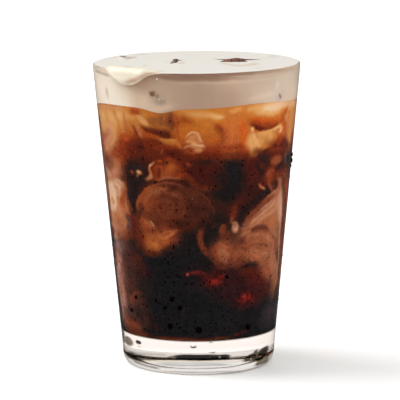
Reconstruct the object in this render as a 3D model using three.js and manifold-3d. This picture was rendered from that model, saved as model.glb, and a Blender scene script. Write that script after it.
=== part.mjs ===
// Chocolate cold brew over ice, served brimful in a heavy-based clear tumbler. A thick layer
// of cold foam floats on the coffee, a lobe of it has run over the lip, and the tops of three
// ice cubes break through it. Millimetres, +Z up, the foot ring stands on z = 0 and the glass's
// axis is the Z axis. The front, where the foam has run over, is towards -Y.

import * as THREE from "three";
import { mergeVertices } from "three/addons/utils/BufferGeometryUtils.js";
import { RoundedBoxGeometry } from "three/addons/geometries/RoundedBoxGeometry.js";
import Module from "manifold-3d";

const wasm = await Module();
wasm.setup();

// The tumbler: its outer wall is a straight cone, closed below by a rounded heel
const rimDiameter = 88;
const glassHeight = 129.3;
const coneFootDiameter = 63.9;
const wallAtLip = 2.2;
const wallAtFloor = 3;
const baseThickness = 14.3;
const floorCorner = 3;
const heelRise = 5.9;
const footRingOuter = 57.8;
const footRingInner = 42;
const footRecess = 1.2;

// Its contents: where the coffee ends and the foam begins, and how the foam stands at the lip
const foamLine = 114.3;
const foamCrown = 0.7;
const foamEdgeDrop = 1.6;
const foamEdgeRoll = 4;
const foamRings = [0.985, 0.965, 0.935, 0.9, 0.7, 0.4];
const levelShare = 0.6;

// Where that line dips and swells round the glass, by azimuth, half-width and height. Azimuths
// are degrees from the front, to the right
const foamWaves = [
  { azimuth: -22, width: 9, height: -1.8 },
  { azimuth: -98, width: 22, height: -2.6 },
  { azimuth: 38, width: 24, height: 1.3 },
  { azimuth: 150, width: 30, height: 0.8 },
];

// The lobe of foam over the lip: its spread, the azimuths between which its two sides fall,
// and how far it hangs
const lobeCentre = -37;
const lobeHalfSpread = 23;
const lobeLeftSide = [-60, -43];
const lobeRightSide = [-34, -14];
const lobeHang = 5.9;
const lobeThickness = 1.7;
const lobeRoot = 7;
const lobeRootFall = 0.3;
const lobeCorner = -3;
const lobeClearance = 0.45;

// Ice cubes: the edge length, the highest corner, the turn about Z from the front to the way
// that corner points, and how far the cube leans so that the corner stands up
const iceRounding = 1.6;
const iceCubes = [
  { name: "ice_right", edge: 24, tip: [17, -5, 130.9], facing: 4, lean: 14 },
  { name: "ice_centre", edge: 17, tip: [-8.5, -3, 130.8], facing: 172, lean: 20 },
  { name: "ice_left", edge: 16, tip: [-34, 14, 130], facing: 248, lean: 8 },
];

// Clearance between pieces that touch, and the fineness of round shapes
const gap = 0.3;
const stepsAround = 72;

const rimRadius = rimDiameter / 2;
const coneFootRadius = coneFootDiameter / 2;
const lipRadius = wallAtLip / 2;
const lipCentre = new THREE.Vector2(rimRadius - lipRadius, glassHeight - lipRadius);

function outerRadius(z) {
  return THREE.MathUtils.lerp(coneFootRadius, rimRadius, z / glassHeight);
}

function innerRadius(z) {
  const share = THREE.MathUtils.inverseLerp(baseThickness, glassHeight, z);
  return outerRadius(z) - THREE.MathUtils.lerp(wallAtFloor, wallAtLip, share);
}

// Points of an elliptical arc in the radial plane, from one angle to another in degrees.
function arc(centreR, centreZ, radiusR, radiusZ, from, to, steps) {
  return Array.from({ length: steps + 1 }, (_, i) => {
    const angle = THREE.MathUtils.degToRad(THREE.MathUtils.lerp(from, to, i / steps));
    const r = centreR + radiusR * Math.cos(angle);
    return new THREE.Vector2(r, centreZ + radiusZ * Math.sin(angle));
  });
}

// Turns a profile of (radius, height) points about the Z axis.
function turned(profile) {
  return new THREE.LatheGeometry(profile, stepsAround).rotateX(Math.PI / 2);
}

// A bump of height 1 over the given azimuth, and of the given half-width, all in degrees.
function bump(azimuth, centre, width) {
  const off = THREE.MathUtils.euclideanModulo(azimuth - centre + 180, 360) - 180;
  return Math.exp(-((off / width) ** 2));
}

// Degrees from the front of the glass, to the right.
function azimuthOf(x, y) {
  return THREE.MathUtils.radToDeg(Math.atan2(x, -y));
}

// Height of the wavy line along which the foam floats on the coffee.
function foamLineAt(azimuth) {
  return foamWaves.reduce(
    (height, wave) => height + wave.height * bump(azimuth, wave.azimuth, wave.width),
    foamLine,
  );
}

// 1 where the foam runs over the lip, fading to 0 on each side.
function lobeShare(azimuth) {
  return bump(azimuth, lobeCentre, lobeHalfSpread * 0.8) ** 2;
}

// Height of the foam's upper side: a low crown that rolls down at the wall, except at the lobe.
function foamTopAt(radius, azimuth) {
  const wall = innerRadius(glassHeight);
  const crown = glassHeight + foamCrown * (1 - (radius / wall) ** 2);
  const roll = THREE.MathUtils.clamp((radius - wall + foamEdgeRoll) / foamEdgeRoll, 0, 1);
  const fall = foamEdgeDrop * roll ** 2;
  const rise = (gap + lobeThickness * 0.5) * roll;
  return crown - fall * (1 - lobeShare(azimuth)) + rise * lobeShare(azimuth);
}

// How far past the top of the lip the lobe reaches at an azimuth: steep on its left side,
// nearly level along its tip and long on its right side. Its two ends stay inside the foam.
function lobeReachAt(azimuth) {
  const left = THREE.MathUtils.smoothstep(azimuth, ...lobeLeftSide);
  const right = 1 - THREE.MathUtils.smoothstep(azimuth, ...lobeRightSide);
  return THREE.MathUtils.lerp(lobeCorner, lobeHang + lipRadius, left * right);
}

// The clear tumbler: foot ring, rounded heel, straight wall, half-round lip, inner wall, thick
// floor. Under the foot the ring stands proud of a shallow recess.
function tumblerGeometry() {
  const footOuter = footRingOuter / 2;
  const footInner = footRingInner / 2;
  const heelWidth = outerRadius(heelRise) - footOuter;
  const floorWall = innerRadius(baseThickness + floorCorner) - floorCorner;
  const profile = [
    new THREE.Vector2(0, footRecess),
    new THREE.Vector2(footInner - 2 * footRecess, footRecess),
    new THREE.Vector2(footInner, 0),
    ...arc(footOuter, heelRise, heelWidth, heelRise, -90, 0, 7),
    ...arc(lipCentre.x, lipCentre.y, lipRadius, lipRadius, 0, 180, 8),
    ...arc(floorWall, baseThickness + floorCorner, floorCorner, floorCorner, 0, -90, 5),
    new THREE.Vector2(0, baseThickness),
  ];
  return turned(profile);
}

// The coffee: it fills the glass from its floor to the foam line.
function coldBrewGeometry() {
  const corner = floorCorner - gap;
  const floor = baseThickness + gap;
  const wall = innerRadius(baseThickness + floorCorner) - gap;
  const profile = [
    new THREE.Vector2(0, floor),
    ...arc(wall - corner, floor + corner, corner, corner, -90, 0, 4),
    new THREE.Vector2(innerRadius(foamLine) - gap, foamLine),
    new THREE.Vector2(innerRadius(foamLine) * levelShare, foamLine),
    new THREE.Vector2(0, foamLine),
  ];
  const geometry = turned(profile);
  moveVertices(geometry, (point) => {
    if (point.z < foamLine - 1) return;
    const azimuth = azimuthOf(point.x, point.y);
    const reach = Math.hypot(point.x, point.y) / (innerRadius(foamLine) - gap);
    point.z = THREE.MathUtils.lerp(foamLine, foamLineAt(azimuth), reach ** 3);
    const radius = reach * (innerRadius(point.z) - gap);
    setRadius(point, radius);
  });
  return geometry;
}

// The foam's disc: its underside follows the coffee, its upper side stands at the lip.
function foamDiscGeometry() {
  const top = glassHeight;
  const profile = [
    new THREE.Vector2(0, foamLine),
    new THREE.Vector2(innerRadius(top) * levelShare, foamLine),
    new THREE.Vector2(innerRadius(top) - gap, foamLine),
    new THREE.Vector2(innerRadius(top) - gap, top),
    ...foamRings.map((share) => new THREE.Vector2((innerRadius(top) - gap) * share, top)),
    new THREE.Vector2(0, top),
  ];
  const geometry = turned(profile);
  moveVertices(geometry, (point) => {
    const azimuth = azimuthOf(point.x, point.y);
    const reach = Math.hypot(point.x, point.y) / (innerRadius(top) - gap);
    if (point.z > foamLine + 1) {
      point.z = foamTopAt(reach * innerRadius(top), azimuth);
    } else {
      point.z = gap + THREE.MathUtils.lerp(foamLine, foamLineAt(azimuth), reach ** 3);
    }
    setRadius(point, reach * (innerRadius(Math.min(point.z, top)) - gap));
  });
  return geometry;
}

// A point of the lobe, at a height off its underside, which keeps clear of the glass: up out of
// the foam, round the lip, then down the outer wall. The distance runs from the top of the lip,
// outwards.
function overLip(distance, height) {
  const bend = lipRadius + lobeClearance;
  const quarter = (Math.PI / 2) * bend;
  if (distance < 0) {
    const z = lipCentre.y + bend + height + lobeRootFall * distance;
    return new THREE.Vector2(lipCentre.x + distance, z);
  }
  const angle = Math.PI / 2 - Math.min(distance, quarter) / bend;
  const radius = bend + height;
  const r = lipCentre.x + radius * Math.cos(angle);
  const z = lipCentre.y + radius * Math.sin(angle);
  const below = Math.max(distance - quarter, 0);
  const slope = (rimRadius - coneFootRadius) / glassHeight;
  return new THREE.Vector2(r - below * slope, z - below);
}

// The lobe: a flattened ball, its poles at the lobe's two sides. Each ring of it is the
// section at one azimuth, flat against the glass and round outside.
function foamLobeGeometry() {
  const geometry = new THREE.SphereGeometry(1, 36, 26).rotateZ(-Math.PI / 2);
  moveVertices(geometry, (point) => {
    const azimuth = lobeCentre + lobeHalfSpread * point.x;
    const ring = Math.hypot(point.y, point.z);
    const along = ring > 1e-6 ? Math.acos(THREE.MathUtils.clamp(point.y / ring, -1, 1)) / Math.PI : 0;
    const length = lobeRoot + lobeReachAt(azimuth);
    const distance = length * along - lobeRoot;
    const height = lobeThickness * Math.max(point.z, 0) ** 0.7;
    const place = overLip(distance, height);
    const angle = THREE.MathUtils.degToRad(azimuth);
    point.set(place.x * Math.sin(angle), -place.x * Math.cos(angle), place.y);
  });
  return geometry;
}

// A rounded cube whose highest corner is at the cube's tip, grown on all sides by a margin.
function iceGeometry({ edge, tip, facing, lean }, margin) {
  const half = edge / 2;
  const size = edge + 2 * margin;
  const geometry = new RoundedBoxGeometry(size, size, size, 3, iceRounding + margin);
  // The corner nearest the viewer and to its right is turned to the front, then leaned up
  const turn = new THREE.Matrix4()
    .makeRotationZ(THREE.MathUtils.degToRad(facing))
    .multiply(new THREE.Matrix4().makeRotationX(-THREE.MathUtils.degToRad(lean)))
    .multiply(new THREE.Matrix4().makeRotationZ(-Math.PI / 4));
  const inset = iceRounding * (1 - 1 / Math.sqrt(3));
  const corner = new THREE.Vector3(half - inset, -half + inset, half - inset).applyMatrix4(turn);
  geometry.applyMatrix4(turn);
  geometry.translate(tip[0] - corner.x, tip[1] - corner.y, tip[2] - corner.z);
  return geometry;
}

// Moves every vertex of a geometry by a function that changes the point it is given.
function moveVertices(geometry, change) {
  const positions = geometry.getAttribute("position");
  const point = new THREE.Vector3();
  for (let i = 0; i < positions.count; i++) {
    point.fromBufferAttribute(positions, i);
    change(point);
    positions.setXYZ(i, point.x, point.y, point.z);
  }
}

function setRadius(point, radius) {
  const now = Math.hypot(point.x, point.y);
  if (now < 1e-6) return;
  point.x *= radius / now;
  point.y *= radius / now;
}

function solidOf(geometry) {
  const bare = geometry.clone();
  bare.deleteAttribute("normal");
  bare.deleteAttribute("uv");
  const merged = mergeVertices(bare, 1e-4);
  const vertProperties = merged.getAttribute("position").array;
  const triVerts = new Uint32Array(merged.index.array);
  return new wasm.Manifold(new wasm.Mesh({ numProp: 3, vertProperties, triVerts }));
}

function geometryOf(solid) {
  const { vertProperties, triVerts } = solid.getMesh();
  const geometry = new THREE.BufferGeometry();
  geometry.setAttribute("position", new THREE.BufferAttribute(vertProperties, 3));
  geometry.setIndex(new THREE.BufferAttribute(triVerts, 1));
  geometry.computeVertexNormals();
  return geometry;
}

// Takes the room of every ice cube, with its clearance, out of a solid.
function clearOfIce(solid) {
  return iceCubes.reduce((left, cube) => left.subtract(solidOf(iceGeometry(cube, gap))), solid);
}

const glassMaterial = new THREE.MeshStandardMaterial({
  color: 0xe9efee,
  roughness: 0.03,
  metalness: 0,
  transparent: true,
  opacity: 0.35,
});
const brewMaterial = new THREE.MeshStandardMaterial({ color: 0x3b1c10, roughness: 0.1 });
const foamMaterial = new THREE.MeshStandardMaterial({ color: 0xe6ddd0, roughness: 0.5 });
const iceMaterial = new THREE.MeshStandardMaterial({ color: 0x6b4a3a, roughness: 0.1 });

function named(name, geometry, material) {
  const mesh = new THREE.Mesh(geometry, material);
  mesh.name = name;
  return mesh;
}

const foam = solidOf(foamDiscGeometry()).add(solidOf(foamLobeGeometry()));

const drink = new THREE.Group();
drink.add(
  named("tumbler", tumblerGeometry(), glassMaterial),
  named("cold_brew", geometryOf(clearOfIce(solidOf(coldBrewGeometry()))), brewMaterial),
  named("cold_foam", geometryOf(clearOfIce(foam)), foamMaterial),
  ...iceCubes.map((cube) => named(cube.name, iceGeometry(cube, 0), iceMaterial)),
);

export default drink;
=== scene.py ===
import math
import random

import bmesh
import bpy
import numpy as np
from mathutils import Matrix, Vector, noise


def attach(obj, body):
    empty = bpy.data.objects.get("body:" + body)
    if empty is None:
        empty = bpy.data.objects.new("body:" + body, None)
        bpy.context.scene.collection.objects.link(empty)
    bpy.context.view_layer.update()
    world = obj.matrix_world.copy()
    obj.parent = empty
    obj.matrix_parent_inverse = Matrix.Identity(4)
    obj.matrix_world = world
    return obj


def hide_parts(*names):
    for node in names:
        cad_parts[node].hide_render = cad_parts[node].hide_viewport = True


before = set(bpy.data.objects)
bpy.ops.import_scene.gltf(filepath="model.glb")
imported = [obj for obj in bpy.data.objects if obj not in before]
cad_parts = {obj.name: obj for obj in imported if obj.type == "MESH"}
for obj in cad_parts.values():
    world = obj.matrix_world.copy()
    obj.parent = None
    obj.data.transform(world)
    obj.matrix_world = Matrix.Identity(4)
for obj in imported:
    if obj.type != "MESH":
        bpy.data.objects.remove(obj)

scene = bpy.context.scene
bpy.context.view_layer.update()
MM = 0.001

# The camera: a long lens at a little over a metre, looking slightly down on the glass, with
# its top tipped a hair to the right.
CAMERA_PLACE = Vector((0, -1.1734, 0.2612))
CAMERA_PITCH = math.radians(9.261)
CAMERA_AIM = math.radians(-0.051)
CAMERA_ROLL = math.radians(-0.405)

camera_data = bpy.data.cameras.new("camera")
camera_data.sensor_width = 36
camera_data.lens = 250.3
camera_data.clip_end = 20
camera = bpy.data.objects.new("camera", camera_data)
camera_turn = (
    Matrix.Rotation(CAMERA_AIM, 4, "Z")
    @ Matrix.Rotation(math.pi / 2 - CAMERA_PITCH, 4, "X")
    @ Matrix.Rotation(CAMERA_ROLL, 4, "Z")
)
camera.matrix_world = Matrix.Translation(CAMERA_PLACE) @ camera_turn
scene.collection.objects.link(camera)
scene.camera = camera
scene.view_settings.view_transform = "Standard"

# The table: a wide pale sheet, just under the foot of the glass.
FLOOR_HALF = 9.0
FLOOR_DROP = 0.15 * MM
TABLE_COLOUR = (0.95, 0.95, 0.945, 1)
TABLE_IN_REFLECTIONS = (0.05, 0.05, 0.05, 1)


def object_of(mesh_maker, name):
    mesh = bpy.data.meshes.new(name)
    mesh_maker.to_mesh(mesh)
    mesh_maker.free()
    mesh.shade_smooth()
    made = bpy.data.objects.new(name, mesh)
    scene.collection.objects.link(made)
    return made


def new_material(name):
    material = bpy.data.materials.new(name)
    material.use_nodes = True
    nodes = material.node_tree.nodes
    return material, nodes, material.node_tree.links, nodes["Principled BSDF"]


def mirrored(nodes, links):
    """Tells a first reflection: the room is darker there, as if black cards stood round it."""
    path = nodes.new("ShaderNodeLightPath")
    outside = nodes.new("ShaderNodeMath")
    outside.operation = "LESS_THAN"
    links.new(path.outputs["Transmission Depth"], outside.inputs[0])
    outside.inputs[1].default_value = 0.5
    both = nodes.new("ShaderNodeMath")
    both.operation = "MULTIPLY"
    links.new(path.outputs["Is Glossy Ray"], both.inputs[0])
    links.new(outside.outputs[0], both.inputs[1])
    return both.outputs[0]


sheet = bmesh.new()
bmesh.ops.create_grid(sheet, x_segments=4, y_segments=4, size=FLOOR_HALF)
bmesh.ops.translate(sheet, vec=(0, 0, -FLOOR_DROP), verts=sheet.verts)
table = object_of(sheet, "table")
table_paint, nodes, links, shader = new_material("pale_table")
paint = nodes.new("ShaderNodeMix")
paint.data_type = "RGBA"
links.new(mirrored(nodes, links), paint.inputs["Factor"])
paint.inputs[6].default_value = TABLE_COLOUR
paint.inputs[7].default_value = TABLE_IN_REFLECTIONS
links.new(paint.outputs[2], shader.inputs["Base Color"])
shader.inputs["Roughness"].default_value = 0.9
shader.inputs["Specular IOR Level"].default_value = 0.0
table.data.materials.append(table_paint)

# The studio: a pale room, brightest overhead and behind the camera. The key is a very large soft
# light high at the left, and a weak panel fills in from the right. The glass doesn't refract
# either of them, and the room seen through it is nearly white.
KEY_FROM = (-1.0, 0.25, 1.05)
KEY_STRENGTH = 2.1
KEY_SPREAD = math.radians(42)
FILL_PLACE = (1.1, -0.1, 0.45)
FILL_WIDTH = 0.7
FILL_TALL = 0.9
FILL_POWER = 4.0
FILL_AIM = (0, 0, 0.07)
ROOM_BEHIND_CAMERA = 0.95
ROOM_AHEAD = 0.58
ROOM_OVERHEAD = 0.28
MIRRORED_LOW = 0.06
MIRRORED_HIGH = 0.8
CLEARER_IN_GLASS = 0.8

key_data = bpy.data.lights.new("key_left", "SUN")
key_data.energy = KEY_STRENGTH
key_data.angle = KEY_SPREAD
key = bpy.data.objects.new("key_left", key_data)
key.rotation_euler = (-Vector(KEY_FROM)).to_track_quat("-Z", "Y").to_euler()
key.visible_transmission = False
scene.collection.objects.link(key)

fill_data = bpy.data.lights.new("fill_right", "AREA")
fill_data.shape = "RECTANGLE"
fill_data.size = FILL_WIDTH
fill_data.size_y = FILL_TALL
fill_data.energy = FILL_POWER
fill = bpy.data.objects.new("fill_right", fill_data)
fill.visible_transmission = False
fill.location = FILL_PLACE
fill.rotation_euler = (Vector(FILL_AIM) - Vector(FILL_PLACE)).to_track_quat("-Z", "Y").to_euler()
scene.collection.objects.link(fill)

world = bpy.data.worlds.new("studio")
world.use_nodes = True
scene.world = world
nodes, links = world.node_tree.nodes, world.node_tree.links
background = nodes["Background"]
background.inputs["Color"].default_value = (1, 0.99, 0.98, 1)
where = nodes.new("ShaderNodeTexCoord")
split = nodes.new("ShaderNodeSeparateXYZ")
links.new(where.outputs["Generated"], split.inputs[0])


def brightness(axis, start, end, low, high):
    """Goes from low to high as one looks from start to end along an axis."""
    node = nodes.new("ShaderNodeMapRange")
    node.interpolation_type = "SMOOTHSTEP"
    node.inputs["From Min"].default_value = start
    node.inputs["From Max"].default_value = end
    node.inputs["To Min"].default_value = low
    node.inputs["To Max"].default_value = high
    links.new(split.outputs[axis], node.inputs["Value"])
    return node.outputs["Result"]


room = nodes.new("ShaderNodeMath")
room.operation = "ADD"
links.new(brightness("Y", -0.95, 0.2, ROOM_BEHIND_CAMERA, ROOM_AHEAD), room.inputs[0])
links.new(brightness("Z", 0.2, 0.95, 0.0, ROOM_OVERHEAD), room.inputs[1])
path = nodes.new("ShaderNodeLightPath")
seen = nodes.new("ShaderNodeMix")
seen.data_type = "FLOAT"
bent = nodes.new("ShaderNodeMath")
bent.operation = "MULTIPLY"
links.new(path.outputs["Is Transmission Ray"], bent.inputs[0])
bent.inputs[1].default_value = CLEARER_IN_GLASS
whiter = nodes.new("ShaderNodeMath")
whiter.operation = "MAXIMUM"
links.new(path.outputs["Is Camera Ray"], whiter.inputs[0])
links.new(bent.outputs[0], whiter.inputs[1])
links.new(whiter.outputs[0], seen.inputs["Factor"])
links.new(room.outputs[0], seen.inputs[2])
seen.inputs[3].default_value = 1.0
mirror = nodes.new("ShaderNodeMix")
mirror.data_type = "FLOAT"
links.new(mirrored(nodes, links), mirror.inputs["Factor"])
links.new(seen.outputs[0], mirror.inputs[2])
links.new(brightness("Z", 0.0, 0.9, MIRRORED_LOW, MIRRORED_HIGH), mirror.inputs[3])
links.new(mirror.outputs[0], background.inputs["Strength"])

# The tumbler: pressed soda-lime glass, with a straight tapering wall, a half-round polished lip
# and a heavy base on a foot ring. Its sizes are the CAD model's, with finer steps.
RIM_RADIUS = 44.0
FOOT_RADIUS = 31.95
GLASS_HEIGHT = 129.3
WALL_AT_LIP = 2.2
WALL_AT_FLOOR = 3.0
BASE_THICKNESS = 14.3
FLOOR_CORNER = 4.5
HEEL_RISE = 5.9
RING_OUTER = 28.9
RING_INNER = 21.0
RING_RECESS = 1.2
LIP_RADIUS = WALL_AT_LIP / 2
LIP_R = RIM_RADIUS - LIP_RADIUS
LIP_Z = GLASS_HEIGHT - LIP_RADIUS
WALL_SLOPE = (RIM_RADIUS - FOOT_RADIUS) / GLASS_HEIGHT
PLAIN_FROM = 22
GLASS_IOR = 1.5
GLASS_STEPS = 480


def mix(a, b, share):
    """From a at share 0 to b at share 1."""
    return a + (b - a) * share


def ease(value, low, high):
    """From 0 at low to 1 at high, softly."""
    share = np.clip((value - low) / (high - low), 0, 1)
    return share * share * (3 - 2 * share)


def outer_radius(z):
    return mix(FOOT_RADIUS, RIM_RADIUS, z / GLASS_HEIGHT)


def inner_radius(z):
    share = (z - BASE_THICKNESS) / (GLASS_HEIGHT - BASE_THICKNESS)
    return outer_radius(z) - mix(WALL_AT_FLOOR, WALL_AT_LIP, share)


def arc(centre_r, centre_z, radius_r, radius_z, start, end, steps):
    angles = [math.radians(mix(start, end, i / steps)) for i in range(steps + 1)]
    return [
        (centre_r + radius_r * math.cos(a), centre_z + radius_z * math.sin(a)) for a in angles
    ]


def line(start, end, steps):
    return [
        (mix(start[0], end[0], i / steps), mix(start[1], end[1], i / steps))
        for i in range(1, steps)
    ]


heel_width = outer_radius(HEEL_RISE) - RING_OUTER
floor_wall = inner_radius(BASE_THICKNESS + FLOOR_CORNER) - FLOOR_CORNER
heel = arc(RING_OUTER, HEEL_RISE, heel_width, HEEL_RISE, -90, 0, 24)
base_top = (outer_radius(PLAIN_FROM), PLAIN_FROM)
lip = arc(LIP_R, LIP_Z, LIP_RADIUS, LIP_RADIUS, 0, 180, 18)
corner = arc(floor_wall, BASE_THICKNESS + FLOOR_CORNER, FLOOR_CORNER, FLOOR_CORNER, 0, -90, 12)
tumbler_profile = np.array([
    (0, RING_RECESS),
    *line((0, RING_RECESS), (RING_INNER - 2 * RING_RECESS, RING_RECESS), 6),
    *arc(RING_INNER - 2.4, 0.0, 2.4, RING_RECESS, 90, 20, 6),
    *arc(RING_INNER + 0.6, 0.5, 0.8, 0.5, 200, 270, 4),
    *heel,
    *line(heel[-1], base_top, 46),
    base_top,
    *line(base_top, lip[0], 16),
    *lip,
    *line(lip[-1], corner[0], 20),
    *corner,
    *line(corner[-1], (0, BASE_THICKNESS), 8),
    (0, BASE_THICKNESS),
])


def wrapped(name, steps, count, place):
    """A grid rolled up round Z: place gives the radius and height in mm of points by their
    azimuth and their row. Its ends are then merged."""
    maker = bmesh.new()
    bmesh.ops.create_grid(maker, x_segments=steps, y_segments=count - 1, size=1)
    mesh = bpy.data.meshes.new(name)
    maker.to_mesh(mesh)
    flat = np.empty(len(mesh.vertices) * 3)
    mesh.vertices.foreach_get("co", flat)
    flat = flat.reshape(-1, 3)
    azimuth = flat[:, 0] * 180
    row = np.rint((flat[:, 1] + 1) / 2 * (count - 1)).astype(int)
    r, z = place(azimuth, row)
    angle = np.radians(azimuth)
    points = np.stack([r * np.sin(angle), -r * np.cos(angle), z], -1)
    mesh.vertices.foreach_set("co", points.ravel())
    maker.clear()
    maker.from_mesh(mesh)
    bpy.data.meshes.remove(mesh)
    bmesh.ops.remove_doubles(maker, verts=maker.verts, dist=0.002)
    bmesh.ops.scale(maker, vec=(MM, MM, MM), verts=maker.verts)
    bmesh.ops.recalc_face_normals(maker, faces=maker.faces)
    return object_of(maker, name)


def tumbler_place(azimuth, row):
    return tumbler_profile[row].T


tumbler = wrapped("clear_tumbler", GLASS_STEPS, len(tumbler_profile), tumbler_place)


def clear_material(name, ior, tint, shadow, gloss):
    """Clear glass with the colours stored as tint. shadow is how much light comes through it
    to what is behind, and gloss how strongly it mirrors."""
    material, nodes, links, shader = new_material(name)
    shown = nodes.new("ShaderNodeAttribute")
    shown.attribute_name = tint
    links.new(shown.outputs["Color"], shader.inputs["Base Color"])
    shader.inputs["Roughness"].default_value = 0.0
    shader.inputs["IOR"].default_value = ior
    shader.inputs["Specular Tint"].default_value = (gloss, gloss, gloss, 1)
    shader.inputs["Transmission Weight"].default_value = 1.0
    path = nodes.new("ShaderNodeLightPath")
    through = nodes.new("ShaderNodeBsdfTransparent")
    through.inputs["Color"].default_value = (shadow, shadow, shadow, 1)
    either = nodes.new("ShaderNodeMixShader")
    links.new(path.outputs["Is Shadow Ray"], either.inputs["Fac"])
    links.new(shader.outputs["BSDF"], either.inputs[1])
    links.new(through.outputs["BSDF"], either.inputs[2])
    links.new(either.outputs["Shader"], nodes["Material Output"].inputs["Surface"])
    return material


tumbler.data.materials.append(
    clear_material("clear_glass", ior=GLASS_IOR, tint="base_tint", shadow=0.93, gloss=0.2)
)
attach(tumbler, "root")
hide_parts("tumbler")

# The coffee with the cream that has run down into it. It fills the glass from its floor to the
# foam. Cream and coffee have mixed only in part, so it is marbled with trails and clouds of
# cream. They are named at their pixels in the photo, and found on the coffee from there.
FOAM_LINE = 114.3
WAVE_DEPTH = 20
INTO_WALL = 0.1
HAZE_SIZE = 2.4
UNDERSIDE = 0.4
REAR_TURN = 13
REAR_RISE = 7
REAR_SIZE = 26
REAR_WIDEST = 84
REAR_FRAY = 6
REAR_BEGINS = 89
REAR_ALONE = 98
BACK_BEGINS = 95
LIGHT_AT_BACK = 0.86
HAZE = (0.05, 0.012, 0.01)
HAZE_LOW = 45
HAZE_HIGH = 75
FOAM_WAVES = [(-22, 9, -1.8), (-98, 22, -2.6), (38, 24, 1.3), (150, 30, 0.8)]
EDGE_LOOP = 0.05
COFFEE_STEPS = 460
COFFEE_ROWS = 190
MM_PER_DEGREE = 0.66
PAST_THE_EDGE = 1.5
SOFTEN = 2.0
SWAY = 0.85
SWAY_SIZE = 9
RIPPLE = 0.4
RIPPLE_SIZE = 2.6
FRAY = 0.12
FRAY_SIZE = 3.4
BLUR_INSIDE = 0.4
FADE = 0.16
LEFT_AT_ENDS = 0.25
THREADS = 1.6
THREAD_LENGTH = 6
FLECK_SIZE = 1.5
LIGHT_AT_FRONT = 0.70
LIGHT_AT_LEFT = 0.95
LIGHT_AT_RIGHT = 0.80
DARKEST_AT = 4
LIGHT_SPREAD = 80

PIGMENT = {
    "cream": (232, 204, 166), "pale": (228, 198, 160), "butter": (232, 190, 128),
    "pink": (214, 176, 150), "rose": (188, 124, 92), "mauve": (130, 110, 112), "tan": (190, 130, 84),
    "caramel": (190, 112, 60), "gold": (196, 128, 58), "amber": (190, 104, 40), "orange": (198, 92, 32),
    "rust": (152, 66, 34), "spark": (214, 96, 40), "umber": (84, 40, 26), "redbrown": (104, 42, 24),
    "maroon": (70, 30, 26), "black": (28, 29, 32), "slate": (42, 36, 38), "honey": (216, 168, 104),
    "sand": (220, 180, 126), "blush": (204, 150, 116), "rosewood": (150, 82, 58),
    "ochre": (192, 118, 46), "cocoa": (80, 44, 33), "chestnut": (110, 56, 38), "wine": (84, 30, 26),
    "shadow": (44, 32, 32), "ember": (150, 42, 34), "plum": (66, 54, 62), "pewter": (120, 102, 98),
    "flame": (224, 78, 50), "bark": (112, 60, 30), "teak": (166, 84, 44), "peach": (204, 150, 118),
    "linen": (238, 216, 190), "bronze": (150, 92, 50), "dusk": (91, 52, 42), "wing": (176, 118, 88),
    "fan": (137, 76, 52), "cork": (160, 98, 67), "night": (33, 29, 29), "murk": (60, 31, 26),
    "sienna": (134, 66, 42), "copper": (174, 100, 52), "claret": (84, 32, 28), "garnet": (112, 33, 30),
    "haze": (52, 27, 28), "shellpink": (219, 186, 160), "ivory": (235, 206, 176),
    "greypink": (141, 100, 92), "wheat": (206, 148, 84), "barley": (186, 114, 50),
    "brick": (184, 72, 26), "spice": (166, 86, 32), "pumpkin": (198, 98, 40), "glow": (172, 124, 114),
    "rosyedge": (226, 190, 180), "dustmauve": (88, 66, 67), "cedar": (108, 54, 37),
    "foam": (238, 233, 224), "milk": (249, 242, 230), "oat": (241, 233, 217), "latte": (220, 204, 183),
    "taupe": (188, 167, 146), "mocha": (171, 151, 133), "fawn": (188, 174, 158),
    "bisque": (199, 189, 174), "shell": (216, 203, 188), "cloud": (224, 214, 204),
    "nougat": (126, 94, 72), "sage": (152, 144, 128), "lilac": (186, 174, 180),
    "smoke": (206, 198, 190), "lipshade": (140, 112, 94), "lipdark": (116, 92, 78),
    "clear": (245, 240, 237), "settled": (226, 220, 212), "soot": (84, 78, 68), "stone": (116, 108, 94),
    "dove": (172, 166, 160), "sandstone": (204, 188, 162), "moss": (196, 196, 186),
    "basalt": (92, 86, 76), "pitch": (40, 33, 22), "umber2": (96, 82, 58), "pearl": (222, 224, 218),
    "ivoryline": (242, 234, 214), "mist": (218, 226, 226), "glint": (254, 254, 253),
    "jet": (22, 14, 12), "mauve_ice": (108, 90, 94), "amber_ice": (150, 94, 54),
    "custard": (243, 232, 210), "nectar": (222, 196, 168), "pleat": (190, 150, 124),
    "chalk": (247, 242, 232), "cacao": (60, 28, 18), "nutmeg": (112, 62, 36), "toffee": (206, 178, 146),
}
LEVELS = [
    (14, "black"), (48, "black"), (60, "night"), (80, "murk"), (90, "maroon"), (95, "redbrown"),
    (99, "rust"), (103, "amber"), (108, "ochre"), (112, "gold"), (130, "gold"),
]

PHOTO_MIDDLE = 200
PHOTO_STEP = 0.5
PHOTO_LEFT, PHOTO_RIGHT = 84, 308
PHOTO_TOP, PHOTO_BOTTOM = 44, 380
# The photo's own lens, in its pixels: the camera's length in mm is this one, rounded.
LENS_PIXELS = 2781.4
EYE = np.array(CAMERA_PLACE) / MM
VIEW = np.array(camera_turn.to_3x3())
S, B = "s", "b"


def cone_hit(start, ray, radius, slope):
    """Where rays first meet a cone round Z, with this radius at height 0, and whether they do."""
    x, y, z = start[..., 0], start[..., 1], start[..., 2]
    across, along, up = ray[..., 0], ray[..., 1], ray[..., 2]
    reach = radius + slope * z
    a = across ** 2 + along ** 2 - (slope * up) ** 2
    b = x * across + y * along - reach * slope * up
    c = x ** 2 + y ** 2 - reach ** 2
    rest = b * b - a * c
    distance = (-b - np.sqrt(np.maximum(rest, 0))) / a
    return start + ray * distance[..., None], rest > 0


def unit_length(vectors):
    return vectors / np.linalg.norm(vectors, axis=-1, keepdims=True)


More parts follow.
